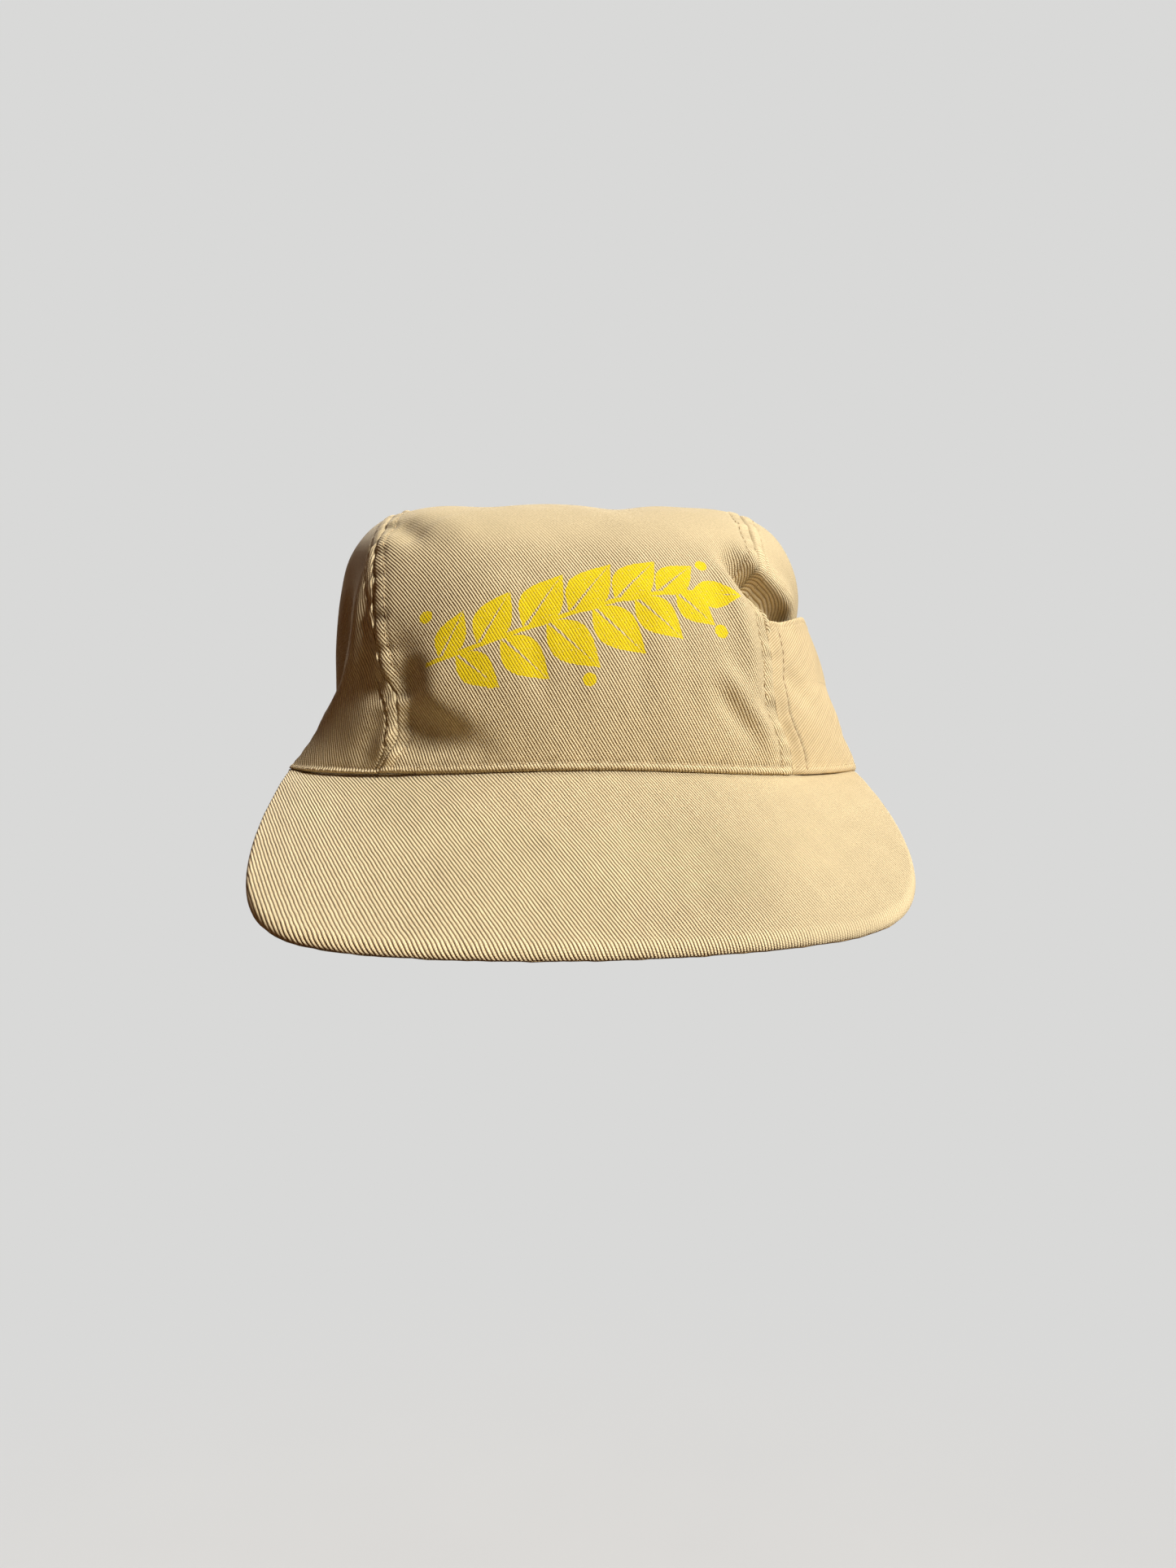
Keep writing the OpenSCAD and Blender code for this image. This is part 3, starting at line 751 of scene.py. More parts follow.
@dataclass(frozen=True)
class FoldField:
    """All given folds of the crown with its soft unevenness."""

    sways: tuple[Sway, ...] = (Sway(0.32 * MM, 46 * MM, 11), Sway(0.13 * MM, 17 * MM, 12))
    rim_calm: float = 4.5 * MM
    # depth of the dent behind the pocket, and its middle and width along and up
    dent: float = 6.0 * MM
    dent_y: Pair = (-42 * MM, 22 * MM)
    dent_z: Pair = (45 * MM, 12 * MM)
    folds: tuple[Fold, ...] = (
        # firm corner along the right long seam
        Fold(((-58, -60, 80), (-61, -69, 70), (-62, -76, 58), (-62, -80, 46), (-60, -84, 38)), 12.0, 1.9),
        Fold(((-62.4, -83.2, 38), (-61.6, -85.2, 28), (-60.9, -86.4, 20), (-61.2, -86.8, 12),
              (-61.8, -86.6, 4)), 6.0, 3.1),
        Fold(((-66.4, -79, 35.6), (-63.5, -83.4, 27.4), (-62.2, -85.3, 21), (-63, -85, 13), (-66, -83, 7)),
             4.6, -1.6),
        # hollows beside it, with the ridge that bounds them
        Fold(((-58.4, -86.6, 34), (-57.2, -88.4, 28), (-56.4, -89.4, 22)), 10.8, -6.0, 0.8),
        Fold(((-59, -88.2, 11.4), (-48, -93.2, 10.8), (-33, -97.6, 10)), 9.0, -3.7, 0.5),
        Fold(((-45, -94, 34), (-45, -94.8, 27), (-45, -94.6, 22), (-40, -96, 18.5), (-31, -98, 16),
              (-25, -99, 9)), 6.0, 1.2, 0.4),
        # valley above the pocket and the bulge behind it
        Fold(((49, -80, 68), (53, -80.4, 63.7), (57.7, -79, 60), (63.7, -75.7, 55.4), (68, -72, 52.5),
              (76, -61, 47)), 4.6, -7.6),
        Fold(((54.7, -72, 74), (58.5, -73, 69.4), (63.6, -70.5, 66), (69.2, -66, 62), (74, -60, 58)),
             4.6, 2.3),
        # drag lines beside the left long seam
        Fold(((45, -80.2, 68.5), (48.3, -85.1, 57.5), (52, -87.7, 47.6), (54, -88.4, 38.4), (54, -89.5, 28)),
             4.2, 2.1),
        Fold(((57, -84, 46), (58.5, -86, 34), (59.5, -86.5, 22)), 2.6, -0.8),
        Fold(((45.6, -94.2, 31), (51.6, -91.9, 22.7), (57.5, -88.3, 15.5), (61, -86, 8)), 3.2, 1.5),
        Fold(((43.3, -95.4, 24.8), (48.8, -93.1, 17.6), (54.5, -90, 11.4)), 3.2, -1.1),
        # ridge on the right side panel and the hollow behind it
        Fold(((-69.5, -67, 64), (-70, -70, 50), (-71.5, -72, 37), (-76, -66, 28), (-81, -61, 19)), 5.5, 1.7),
        Fold(((-77, -50, 64), (-79, -52, 48), (-81, -48, 36), (-85, -44, 25)), 9.0, -3.0),
        Fold(((-66, -73, 58), (-65.5, -77, 44), (-65, -80, 34)), 2.6, -0.8),
        # slack over the crest
        Fold(((13, -60, 90), (15, -40, 96), (16, -18, 97)), 9.0, -1.6),
        Fold(((-30, -58, 90), (-32, -34, 96), (-30, -14, 97)), 12.0, -1.3),
        Fold(((-58.6, -61, 82), (-54.8, -67.8, 78.6), (-51, -73.6, 75)), 4.2, -2.0),
        Fold(((-44.7, -68.5, 82.5), (-38.9, -75.3, 78.5), (-34.7, -80.4, 74.3)), 7.0, 0.9),
        # upright ripples of the front panel
        Fold(((-14, -96, 50), (-13, -99, 36), (-11, -100.5, 22)), 4.2, -0.55),
        Fold(((2, -96, 52), (3, -99, 36), (5, -100.8, 20)), 4.2, 0.4),
        Fold(((17, -96, 50), (18, -99, 36), (20, -100.2, 20)), 4.2, -0.55),
        Fold(((31, -94, 46), (32.5, -97, 34), (35, -98, 20)), 4.4, -0.5))

    # the bulge above the pocket leans over the valley
    hang: Fold = Fold(
        ((56, -73, 73), (60, -73, 68.5), (64.5, -70.5, 65), (70, -66, 61), (75, -60, 57)), 4.8, 4.2)
    hang_way: Triple = (-0.25, -0.66, -0.71)

    # where the visor seam begins to wave, and its place across and rise in mm
    seam_fore: Pair = (-44 * MM, -59 * MM)
    seam_wave: Keys = (
        (-95, 1.3), (-87, 0.3), (-78, -0.3), (-62, -0.55), (-40, -0.3), (-12, 0.4), (14, 0.6), (38, 0.0),
        (62, -0.55), (78, -0.2), (87, 0.3), (95, 1.1))

    def seam_rise(self, p: Array, far: Array, reach: float) -> Array:
        """Rise of the uneven visor seam, fading over a reach from it."""
        fore = step(*self.seam_fore, p[..., 1])
        return through(self.seam_wave, p[..., 0] / MM) * MM * fore * (1 - step(0, reach, far))

    def lean(self, p: Array) -> Array:
        """Sideways shift of the cloth at points of the smooth crown."""
        return self.hang.lift(p)[..., None] * np.array(self.hang_way)

    def lift(self, p: Array) -> Array:
        """Outward shift of the cloth at points of the smooth crown."""
        total = sum(sway.in_space(p) for sway in self.sways)
        for fold in self.folds:
            total = total + fold.lift(p)
        (y, y_w), (z, z_w) = self.dent_y, self.dent_z
        near = bell(p[..., 1] - y, y_w) * bell(p[..., 2] - z, z_w)
        total = total * (1 - bell(p[..., 2], self.rim_calm))
        return total - np.where(p[..., 0] > 0, self.dent * near, 0)


# ---- cloth pieces

class Edge(Enum):
    """Edges of a cloth grid, as seen from outside."""

    LEFT = "left"
    RIGHT = "right"
    BOTTOM = "bottom"
    TOP = "top"


class Grain(Enum):
    """How a piece lies on the cloth that it is cut from: degrees from its width to the wales."""

    LENGTHWISE = 59.5
    VISOR = 66.0
    CROSSWISE = -38.0


def on_grain(u: Array, v: Array, grain: Grain) -> Array:
    """Weave map with its first axis across the wales."""
    angle = math.radians(grain.value)
    c, s = math.cos(angle), math.sin(angle)
    return np.stack([u * s + v * c, u * c - v * s], -1)


@dataclass
class ClothGrid:
    """Outer and inner points of a sheet with the maps it is dressed by."""

    outer: Array
    inner: Array
    flat_u: Array
    flat_v: Array
    # brightness change for rubbing and for painted shade
    wear_and_painted_shade: Optional[Array] = None
    nap: Optional[Array] = None
    pull: Optional[Array] = None

    @property
    def normals(self) -> Array:
        """Outward directions of the outer points."""
        du, dv = np.gradient(self.outer, axis=1), np.gradient(self.outer, axis=0)
        n = unit(np.cross(du, dv))
        out = unit(self.outer - self.inner)
        bad = np.linalg.norm(np.cross(du, dv), axis=-1) < 1e-13
        n[bad] = out[bad]
        return n

    def line(self, edge: Edge, inset: Union[float, Callable[[Array], Array]]) -> tuple[Array, Array]:
        """Line on the outer face at a distance from an edge.

        Args:
            edge: The edge that is followed.
            inset: Distance from it along the cloth, or what gives it for a length along the edge.

        Returns:
            Points and outward directions along the line.
        """
        p, n = self.outer, self.normals
        if edge in (Edge.BOTTOM, Edge.TOP):
            p, n = p.transpose(1, 0, 2), n.transpose(1, 0, 2)
        if edge in (Edge.RIGHT, Edge.TOP):
            p, n = p[:, ::-1], n[:, ::-1]
        run = run_length(p, 1)
        start = run_length(p[:, 0], 0)
        inset = inset(start) if callable(inset) else np.full(len(p), inset)
        points, ways = [], []
        for row_p, row_n, row_d, far in zip(p, n, run, inset):
            if row_d[-1] > far:
                points.append([np.interp(far, row_d, row_p[:, k]) for k in range(3)])
                ways.append([np.interp(far, row_d, row_n[:, k]) for k in range(3)])
        return np.array(points), unit(np.array(ways))

    def turned(self) -> "ClothGrid":
        """The same sheet with its inner face outward."""
        return ClothGrid(self.inner[:, ::-1], self.outer[:, ::-1], self.flat_u, self.flat_v)

    def flat_size(self) -> Triple:
        """Width, length and area of the cut before sewing."""
        u, v = self.flat_u, self.flat_v
        a, b = u[1:, 1:] - u[:-1, :-1], v[1:, 1:] - v[:-1, :-1]
        c, d = u[1:, :-1] - u[:-1, 1:], v[1:, :-1] - v[:-1, 1:]
        return float(np.ptp(u)), float(np.ptp(v)), float(np.abs(a * d - b * c).sum() / 2)


def add_object(name: str, mesh: bpy.types.Mesh, material: Material) -> bpy.types.Object:
    """Puts a mesh in the scene with one material."""
    mesh.materials.append(material)
    obj = bpy.data.objects.new(name, mesh)
    bpy.context.scene.collection.objects.link(obj)
    return obj


def write_map(mesh: bpy.types.Mesh, name: str, corners: Array) -> None:
    """Stores one map, given for each corner of each face."""
    layer = mesh.uv_layers.new(name=name)
    layer.data.foreach_set("uv", np.ascontiguousarray(corners, np.float32).ravel())


def bake_map(place: Array, rims: list[Array], shape: tuple[int, int]) -> Array:
    """Map on which nothing overlaps: both faces side by side, and the rims in strips above.

    Args:
        place: Point of the grid at each corner of each face.
        rims: Faces of the four rims, which come last.
        shape: Rows and columns of the grid.

    Returns:
        Places from 0 to 1 for each corner of each face.
    """
    (n, m), pad = shape, 0.005
    face_w, face_h, lining_at, strips_at, strip_h, strip_w = 0.488, 0.955, 0.502, 0.966, 0.008, 0.99
    cells = (n - 1) * (m - 1)
    row, col = place // m / (n - 1), place % m / (m - 1)
    bake = np.stack([col * face_w + pad, row * face_h + pad], -1)
    bake[cells:2 * cells, :, 0] += lining_at
    base = 2 * cells
    for k, rim in enumerate(rims):
        count = len(rim)
        along = np.arange(count)[:, None] / count + np.array([[0, 0, 1, 1]]) / count
        up = strips_at + strip_h * k + pad * np.tile([0, 1, 1, 0], (count, 1))
        bake[base:base + count] = np.stack([along * strip_w + pad, up], -1)
        base += count
    return bake


def shade_smooth(mesh: bpy.types.Mesh, crease_deg: Optional[float] = None) -> None:
    """Rounds the shading of a mesh, apart from edges sharper than the crease."""
    mesh.polygons.foreach_set("use_smooth", np.ones(len(mesh.polygons), bool))
    if crease_deg:
        mesh.set_sharp_from_angle(angle=math.radians(crease_deg))


def sew_sheet(name: str, grid: ClothGrid, material: Material, grain: Grain = Grain.LENGTHWISE,
              printed: bool = False, pinched: bool = False) -> bpy.types.Object:
    """Makes a closed cloth piece from its grid.

    Args:
        name: Name of the piece.
        grid: Points and maps of the sheet.
        material: Finish of the piece.
        grain: How the piece lies on the cloth.
        printed: Whether the piece carries the map of the artwork.
        pinched: Whether some edge shrinks to a point, so that its points are joined.

    Returns:
        The new object.
    """
    n, m = grid.outer.shape[:2]
    points = np.concatenate([grid.outer.reshape(-1, 3), grid.inner.reshape(-1, 3)])
    index = np.arange(n * m).reshape(n, m)
    back = index + n * m
    a, b, c, d = index[:-1, :-1], index[:-1, 1:], index[1:, 1:], index[1:, :-1]
    skin = np.stack([a, b, c, d], -1).reshape(-1, 4)
    lining = skin[:, ::-1] + n * m
    rims = [
        np.stack([index[0, :-1], back[0, :-1], back[0, 1:], index[0, 1:]], -1),
        np.stack([index[-1, :-1], index[-1, 1:], back[-1, 1:], back[-1, :-1]], -1),
        np.stack([index[:-1, 0], index[1:, 0], back[1:, 0], back[:-1, 0]], -1),
        np.stack([index[:-1, -1], back[:-1, -1], back[1:, -1], index[1:, -1]], -1)]
    faces = np.concatenate([skin, lining, *rims])
    mesh = bpy.data.meshes.new(name)
    mesh.from_pydata(points.tolist(), [], faces.tolist())
    place = faces % (n * m)
    weave = on_grain(grid.flat_u, grid.flat_v, grain).reshape(-1, 2)
    if grid.pull is not None:
        weave[:, 0] += grid.pull.ravel()
    write_map(mesh, "Weave", weave[place])
    if printed:
        plan = np.stack([grid.flat_u, grid.flat_v], -1).reshape(-1, 2)
        write_map(mesh, "Print", plan[place])
    write_map(mesh, "OFBake", bake_map(place, rims, (n, m)))
    # the attribute of rubbing and painted shade, and the nap
    for label, values in (("wear_and_painted_shade", grid.wear_and_painted_shade), ("nap", grid.nap)):
        values = np.zeros(n * m) if values is None else values.ravel()
        layer = mesh.attributes.new(label, "FLOAT", "POINT")
        layer.data.foreach_set("value", np.concatenate([values, values]).astype(np.float32))
    if pinched:
        bm = bmesh.new()
        bm.from_mesh(mesh)
        bmesh.ops.remove_doubles(bm, verts=bm.verts, dist=2e-6)
        bmesh.ops.dissolve_degenerate(bm, edges=bm.edges, dist=1e-7)
        bm.to_mesh(mesh)
        bm.free()
    mesh.validate()
    shade_smooth(mesh, 58)
    return add_object(name, mesh, material)


def settle(obj: bpy.types.Object, slot: str, *nodes: str, body: str = "cap") -> bpy.types.Object:
    """Rides a piece on a body and hides the solids of the nodes that it stands for."""
    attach(obj, body)
    if nodes:
        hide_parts(*nodes)
    LOG.info("%s: %d points", obj.name, len(obj.data.vertices))
    return obj


def declare(obj: bpy.types.Object, grid: ClothGrid, held: str, *rests: str) -> None:
    """Logs the size that a sheet was cut to."""
    w, l, area = grid.flat_size()
    area = min(area, w * l)
    LOG.info("%s: cut %.0f x %.0f mm, area %.0f cm2", obj.name, w / MM, l / MM, area * 1e4)


@dataclass
class StitchRow:
    """Rows of single stitches lying on cloth, gathered into one mesh."""

    length: float = 2.6 * MM
    gap: float = 0.7 * MM
    radius: float = 0.18 * MM
    sides: int = 6
    # thickness and height of the rings of a stitch, as shares of its radius, and its flattening
    swell: tuple[float, ...] = (0.45, 0.92, 1.0, 0.92, 0.45)
    rise: tuple[float, ...] = (-1.0, 0.0, 0.22, 0.0, -1.0)
    flat: float = 0.8
    verts: list[Array] = field(default_factory=list)
    faces: list[Array] = field(default_factory=list)
    maps: list[Array] = field(default_factory=list)
    count: int = 0

    def sew(self, points: Array, normals: Array, trim: float = 0.0) -> None:
        """Lays stitches along a line.

        Args:
            points: Points of the line on the cloth.
            normals: Outward directions there.
            trim: Length left bare at both ends.
        """
        run = run_length(points, 0)
        pitch = self.length + self.gap
        across = np.linspace(0, 2 * math.pi, self.sides, endpoint=False)
        swell, rise = np.array(self.swell), np.array(self.rise) * self.radius
        start = trim
        while start + self.length < run[-1] - trim:
            at = start + np.linspace(0, self.length, len(rise))
            c = np.stack([np.interp(at, run, points[:, k]) for k in range(3)], -1)
            n = unit(np.stack([np.interp(at, run, normals[:, k]) for k in range(3)], -1))
            way = unit(np.gradient(c, axis=0))
            side = unit(np.cross(way, n))
            up = np.cross(side, way)
            c = c + n * rise[:, None]
            r = (self.radius * swell)[:, None, None]
            ring = c[:, None] + r * (np.cos(across)[None, :, None] * side[:, None]
                                     + self.flat * np.sin(across)[None, :, None] * up[:, None])
            self._add(ring, across, at - start)
            start += pitch

    def _add(self, ring: Array, across: Array, along: Array) -> None:
        """Adds one closed stitch from its rings."""
        rings, sides = ring.shape[:2]
        base = self.count
        i = np.arange(rings - 1)[:, None] * sides
        j = np.arange(sides)[None, :]
        k = (j + 1) % sides
        quads = np.stack([i + j, i + k, i + sides + k, i + sides + j], -1).reshape(-1, 4)
        self.verts.append(ring.reshape(-1, 3))
        self.faces.append(quads[:, ::-1] + base)
        for end, flip in ((0, False), ((rings - 1) * sides, True)):
            for f in range(1, sides - 1, 2):
                cap = [end, end + f, end + f + 1, end + min(f + 2, sides - 1)]
                self.faces.append(np.array([cap[::-1] if flip else cap]) + base)
        self.maps.append(np.stack(np.broadcast_arrays(across[None, :], along[:, None]), -1).reshape(-1, 2))
        self.count += rings * sides

    def build(self, name: str, material: Material) -> bpy.types.Object:
        """Makes the mesh of all stitches laid so far."""
        faces = [list(dict.fromkeys(face)) for face in np.concatenate(self.faces).tolist()]
        mesh = bpy.data.meshes.new(name)
        mesh.from_pydata(np.concatenate(self.verts).tolist(), [], faces)
        loops = np.empty(len(mesh.loops), int)
        mesh.loops.foreach_get("vertex_index", loops)
        write_map(mesh, "Weave", np.concatenate(self.maps)[loops])
        shade_smooth(mesh)
        return add_object(name, mesh, material)


# ---- crown

class SeamSeed(IntEnum):
    """Seeds of the uneven gathering along each edge of a seam."""

    FRONT_RIGHT = 21
    FRONT_LEFT = 22
    CROSS = 23
    TOP_RIGHT = 23
    TOP_LEFT = 25
    MIDDLE = 27
    SIDE_RIGHT = 39
    SIDE_LEFT = 41


@dataclass(frozen=True)
class SeamRelief:
    """Relief of the cloth beside a topstitched seam."""

    turned: Ridge = Ridge(-0.45 * MM, 0.42 * MM)
    layers: float = 0.14 * MM
    layers_from: Pair = (0.2 * MM, 1.6 * MM)
    layers_to: Pair = (4.2 * MM, 6.8 * MM)
    stitch_in: float = 4.7 * MM
    stitch_sway: float = 0.11
    sway_wave: float = 62 * MM
    sway_seed: int = 100
    sunk: Ridge = Ridge(-0.42 * MM, 0.55 * MM)
    gather: float = 0.46 * MM
    gather_at: Ridge = Ridge(1.0, 2.8 * MM, 2.6 * MM)

    def row_at(self, along: Array, seed: int) -> Array:
        """Distance of a stitch row from its seam, a little uneven by hand."""
        return self.stitch_in * (1 + self.stitch_sway * pucker(along, seed + self.sway_seed, self.sway_wave))

    def lift(self, d: Array, along: Array, seed: int, layers: Optional[Array] = None) -> Array:
        """Relief at a distance from the seam.

        Args:
            d: Distance from the seam.
            along: Length along it.
            seed: Seed of the gathering.
            layers: Height of the folded layers where it isn't the usual one.

        Returns:
            Height of the cloth, above zero outward.
        """
        layers = self.layers if layers is None else layers
        fold = layers * (step(*self.layers_from, d) - step(*self.layers_to, d))
        sunk = self.sunk.lift(d - self.row_at(along, seed))
        gather = self.gather * pucker(along, seed) * self.gather_at.lift(d)
        return self.turned.lift(d) + fold + sunk + gather


@dataclass(frozen=True)
class RimRelief:
    """Relief of the cloth above the rim, rolled over the seam of the visor in front."""

    fore: Pair = (-50 * MM, -66 * MM)
    # where the roll is full, and its height and the depth below it in mm, plain and added where full
    full: Pair = (-46 * MM, -58 * MM)
    roll_mm: Pair = (0.30, 0.66)
    roll_at: Ridge = Ridge(1.0, 1.0 * MM, 1.2 * MM)
    tuck_mm: Pair = (0.40, 0.9)
    tuck_w: float = 0.45 * MM
    # the stitch row, the share of it that the roll fills, and the gathering
    row: Ridge = Ridge(-0.36 * MM, 0.45 * MM, 2.7 * MM)
    filled: float = 0.6
    gather: Sway = Sway(0.14 * MM, 7 * MM, 31)
    gather_at: Ridge = Ridge(1.0, 3 * MM, 2 * MM)
    hem: float = 0.35 * MM
    hem_to: Pair = (5.0 * MM, 7.5 * MM)
    hem_row: Ridge = Ridge(-0.3 * MM, 0.8 * MM, 6.0 * MM)

    def lift(self, h: Array, along: Array, p: Array) -> Array:
        """Relief at a height above the rim.

        Args:
            h: Height above the rim along the cloth.
            along: Length along the rim.
            p: Points of the smooth form.

        Returns:
            Height of the cloth, above zero outward.
        """
        fore = step(*self.fore, p[..., 1])
        full = step(*self.full, p[..., 0])
        roll = (self.roll_mm[0] + self.roll_mm[1] * full) * MM * self.roll_at.lift(h)
        tuck = -(self.tuck_mm[0] + self.tuck_mm[1] * full) * MM * bell(h, self.tuck_w)
        row = self.row.lift(h) * (1 - self.filled * full)
        gather = self.gather.along(along) * self.gather_at.lift(h)
        hem = self.hem * (1 - step(*self.hem_to, h)) + self.hem_row.lift(h)
        return mix(hem + tuck, roll + tuck + row + gather, fore)


@dataclass
class Crown:
    """The five cloths of the crown."""

    form: CrownForm
    folds: FoldField
    seam: SeamRelief = SeamRelief()
    rim: RimRelief = RimRelief()
    cloth: float = 1.0 * MM
    lining_share: float = 0.4
    seam_reach: float = 15 * MM
    # relief at which rubbing on raised seams, and painted shade in sunk seam edges and stitch rows, shows in
    # full, and the most rubbing; then the painted shade of deep hollows with the depth where it begins
    wear_and_shade_relief: float = 0.9 * MM
    wear_most: float = 0.35
    painted_hollow_shade: float = 0.4
    painted_hollow_shade_from: Pair = (1.6 * MM, 6.5 * MM)
    # nap over the crest and the height where it begins, and the painted shade that darkens the crest with
    # it, toning down the top where the lamps light it brightly
    nap: float = 0.88
    nap_from: Pair = (66 * MM, 82 * MM)
    crest_painted_shade: float = 0.34
    # how closely the cloths are divided
    front_rows: Spacing = Spacing(140 * MM, 0.32 * MM, 1.35 * MM, 7 * MM)
    front_cols: Spacing = Spacing(134 * MM, 0.42 * MM, 1.4 * MM, 9 * MM)
    top_rows: Spacing = Spacing(190 * MM, 0.5 * MM, 1.9 * MM, 8 * MM)
    top_cols: Spacing = Spacing(63 * MM, 0.5 * MM, 1.7 * MM, 8 * MM)
    side_rows: Spacing = Spacing(115 * MM, 0.36 * MM, 1.6 * MM, 8 * MM)
    side_cols: Spacing = Spacing(300 * MM, 0.7 * MM, 1.75 * MM, 14 * MM)
    # layers of the side seams above the pocket, and the bed of the pocket
    side_layers: float = 0.3 * MM
    side_layers_from: Pair = (36 * MM, 48 * MM)
    bed: float = 1.1 * MM
    bed_top: Pair = (43 * MM, 47 * MM)
    bed_rear: Pair = (12 * MM, 8 * MM)
    # the visor's seam is sewn as far back as this, and the hem from here
    rim_row_to: float = -58 * MM
    hem_row_from: float = -50 * MM
    grids: dict[str, ClothGrid] = field(default_factory=dict)

    def skin(self, t: Array, s: Array, relief: Array, p: Array, flat: tuple[Array, Array]) -> ClothGrid:
        """Grid of a crown cloth.

        Args:
            t: Arch angles.
            s: Side angles.
            relief: Height of seams, hems and gathers.
            p: Points of the smooth form.
            flat: Places on the cut cloth, across and up.

        Returns:
            The grid with its folds and with the rubbing and painted shade of its cloth.
        """
        n = self.form.normal(t, s)
        lift = self.folds.lift(p)
        p = p + self.folds.lean(p)
        p[..., 2] += self.folds.seam_rise(p, p[..., 2], self.seam_reach)
        outer = p + (lift + relief)[..., None] * n
        inner = p + (lift + self.lining_share * relief - self.cloth)[..., None] * n
        # raised relief is rubbed lighter, and sunk seam edges and stitch rows get painted shade
        wear_and_painted_shade = np.clip(relief / self.wear_and_shade_relief, -1, self.wear_most)
        # painted shade in the deep hollows of the folds
        wear_and_painted_shade = wear_and_painted_shade - self.painted_hollow_shade * step(*self.painted_hollow_shade_from, -lift)
        nap = self.nap * step(*self.nap_from, p[..., 2])
        # painted shade darkens the napped crest, toning down the brightly lit top
        return ClothGrid(outer, inner, flat[0], flat[1], wear_and_painted_shade - self.crest_painted_shade * nap, nap)

    def front(self) -> ClothGrid:
        """Front panel, from the visor seam up and over the brow."""
        form = self.form
        t_fine = np.linspace(0, form.front_end, 600)
        arc = run_length(form.flared(t_fine, np.zeros_like(t_fine)), 0)
        rows = replace(self.front_rows, total=arc[-1]).places() * arc[-1]
        t = np.interp(rows, arc, t_fine)[:, None]
        cols = self.front_cols.places()[None, :]
        x = mix(form.seam_at(t, -1), form.seam_at(t, 1), cols)
        s = form.side_angle(x, t)
        t = np.broadcast_to(t, s.shape)
        p = form.flared(t, s)
        across, up = run_length(p, 1), run_length(p, 0)
        width = across[:, -1:]
        relief = (self.seam.lift(across, up, SeamSeed.FRONT_RIGHT)
                  + self.seam.lift(width - across, up, SeamSeed.FRONT_LEFT) + self.rim.lift(up, across, p)
                  + self.seam.lift(up[-1:] - up, across, SeamSeed.CROSS))
        middle = np.array([np.interp(0.0, row, run) for row, run in zip(x, across)])
        flat = across - middle[:, None], np.broadcast_to(rows[:, None], s.shape)
        return self.skin(t, s, relief, p, flat)

    def top(self, side: int) -> ClothGrid:
        """Half of the top and back, cut out at the arch."""
        form = self.form
        cols = self.top_cols.places()
        share = (cols if side > 0 else cols - 1)[None, :]
        rows = self.top_rows.places()[:, None]
        t_seam = mix(form.front_end, math.pi, rows)
        x = np.abs(form.seam_at(t_seam, side)) * share
        x = np.where(np.abs(x) < 1e-9, side * 1e-9, x)
        t = t_seam - (math.pi - form.panel_end(x)) * rows ** 3
        s = form.side_angle(x, t)
        p = form.flared(t, s)
        across, up = run_length(p, 1), run_length(p, 0)
        width = across[:, -1:]
        outer_d, inner_d = (width - across, across) if side > 0 else (across, width - across)
        seed = SeamSeed.TOP_LEFT if side > 0 else SeamSeed.TOP_RIGHT
        relief = (self.seam.lift(outer_d, up, seed) + self.seam.lift(inner_d, up, SeamSeed.MIDDLE)
                  + self.seam.lift(up, across, SeamSeed.CROSS))
        return self.skin(t, s, relief, p, (across if side > 0 else across - width, up))

    def side(self, side: int) -> ClothGrid:
        """Side panel, from the long seam down to the rim."""
        form = self.form
        t_fine = np.linspace(0, math.pi, 1500)
        seam = form.plain(t_fine, form.side_angle(form.seam_at(t_fine, side), t_fine))
        seam_run = run_length(seam, 0)
        y_fine = np.linspace(seam[0, 1], seam[-1, 1], 900)
        rim = form.flared(*form.wall_angles(y_fine, np.zeros_like(y_fine), side))
        rim_run = run_length(rim, 0)
        cols = self.side_cols.places()
        if side < 0:
            cols = cols[::-1]
        top = np.stack([np.interp(cols * seam_run[-1], seam_run, seam[:, k]) for k in (1, 2)], -1)
        foot = np.interp(cols * rim_run[-1], rim_run, y_fine)
        f = np.linspace(0, 1, 500)[:, None]
        t, s = form.wall_angles(mix(foot, top[:, 0], f), top[:, 1] * f, side)
        fine = form.flared(t, s)
        run = run_length(fine, 0)
        rows = self.side_rows.places()
        f = np.stack([np.interp(rows * r[-1], r, f[:, 0]) if r[-1] > 0 else rows for r in run.T], -1)
        y, z = mix(foot, top[:, 0], f), top[:, 1] * f
        t, s = form.wall_angles(y, z, side)
        p = form.flared(t, s)
        up = run_length(p, 0)
        along = np.broadcast_to(cols * seam_run[-1], up.shape)
        layers = self.side_layers * step(*self.side_layers_from, p[..., 2])
        seed = SeamSeed.SIDE_LEFT if side > 0 else SeamSeed.SIDE_RIGHT
        relief = (self.seam.lift(up[-1:] - up, along, seed, layers)
                  + self.rim.lift(up, np.broadcast_to(foot, up.shape), p))
        if side > 0:
            # the panel lies deeper under the pocket
            below, ahead = 1 - step(*self.bed_top, p[..., 2]), step(*self.bed_rear, p[..., 1])
            relief = relief - self.bed * below * ahead
        y_plan = np.linspace(-form.half_l, form.half_l, 2001)
        x_plan = form.half_w * form.oval(y_plan / form.half_l)
        plan = run_length(np.stack([x_plan, y_plan], -1), 0)
        u = side * (np.interp(y, y_plan, plan) - plan[len(plan) // 2])
        leg, du = np.diff(up, axis=0), np.diff(u, axis=0)
        rise = np.sqrt(np.maximum(leg ** 2 - du ** 2, 0))
        v = np.concatenate([np.zeros((1, len(foot))), np.cumsum(rise, 0)])
        return self.skin(t, s, relief, p, (u, v))

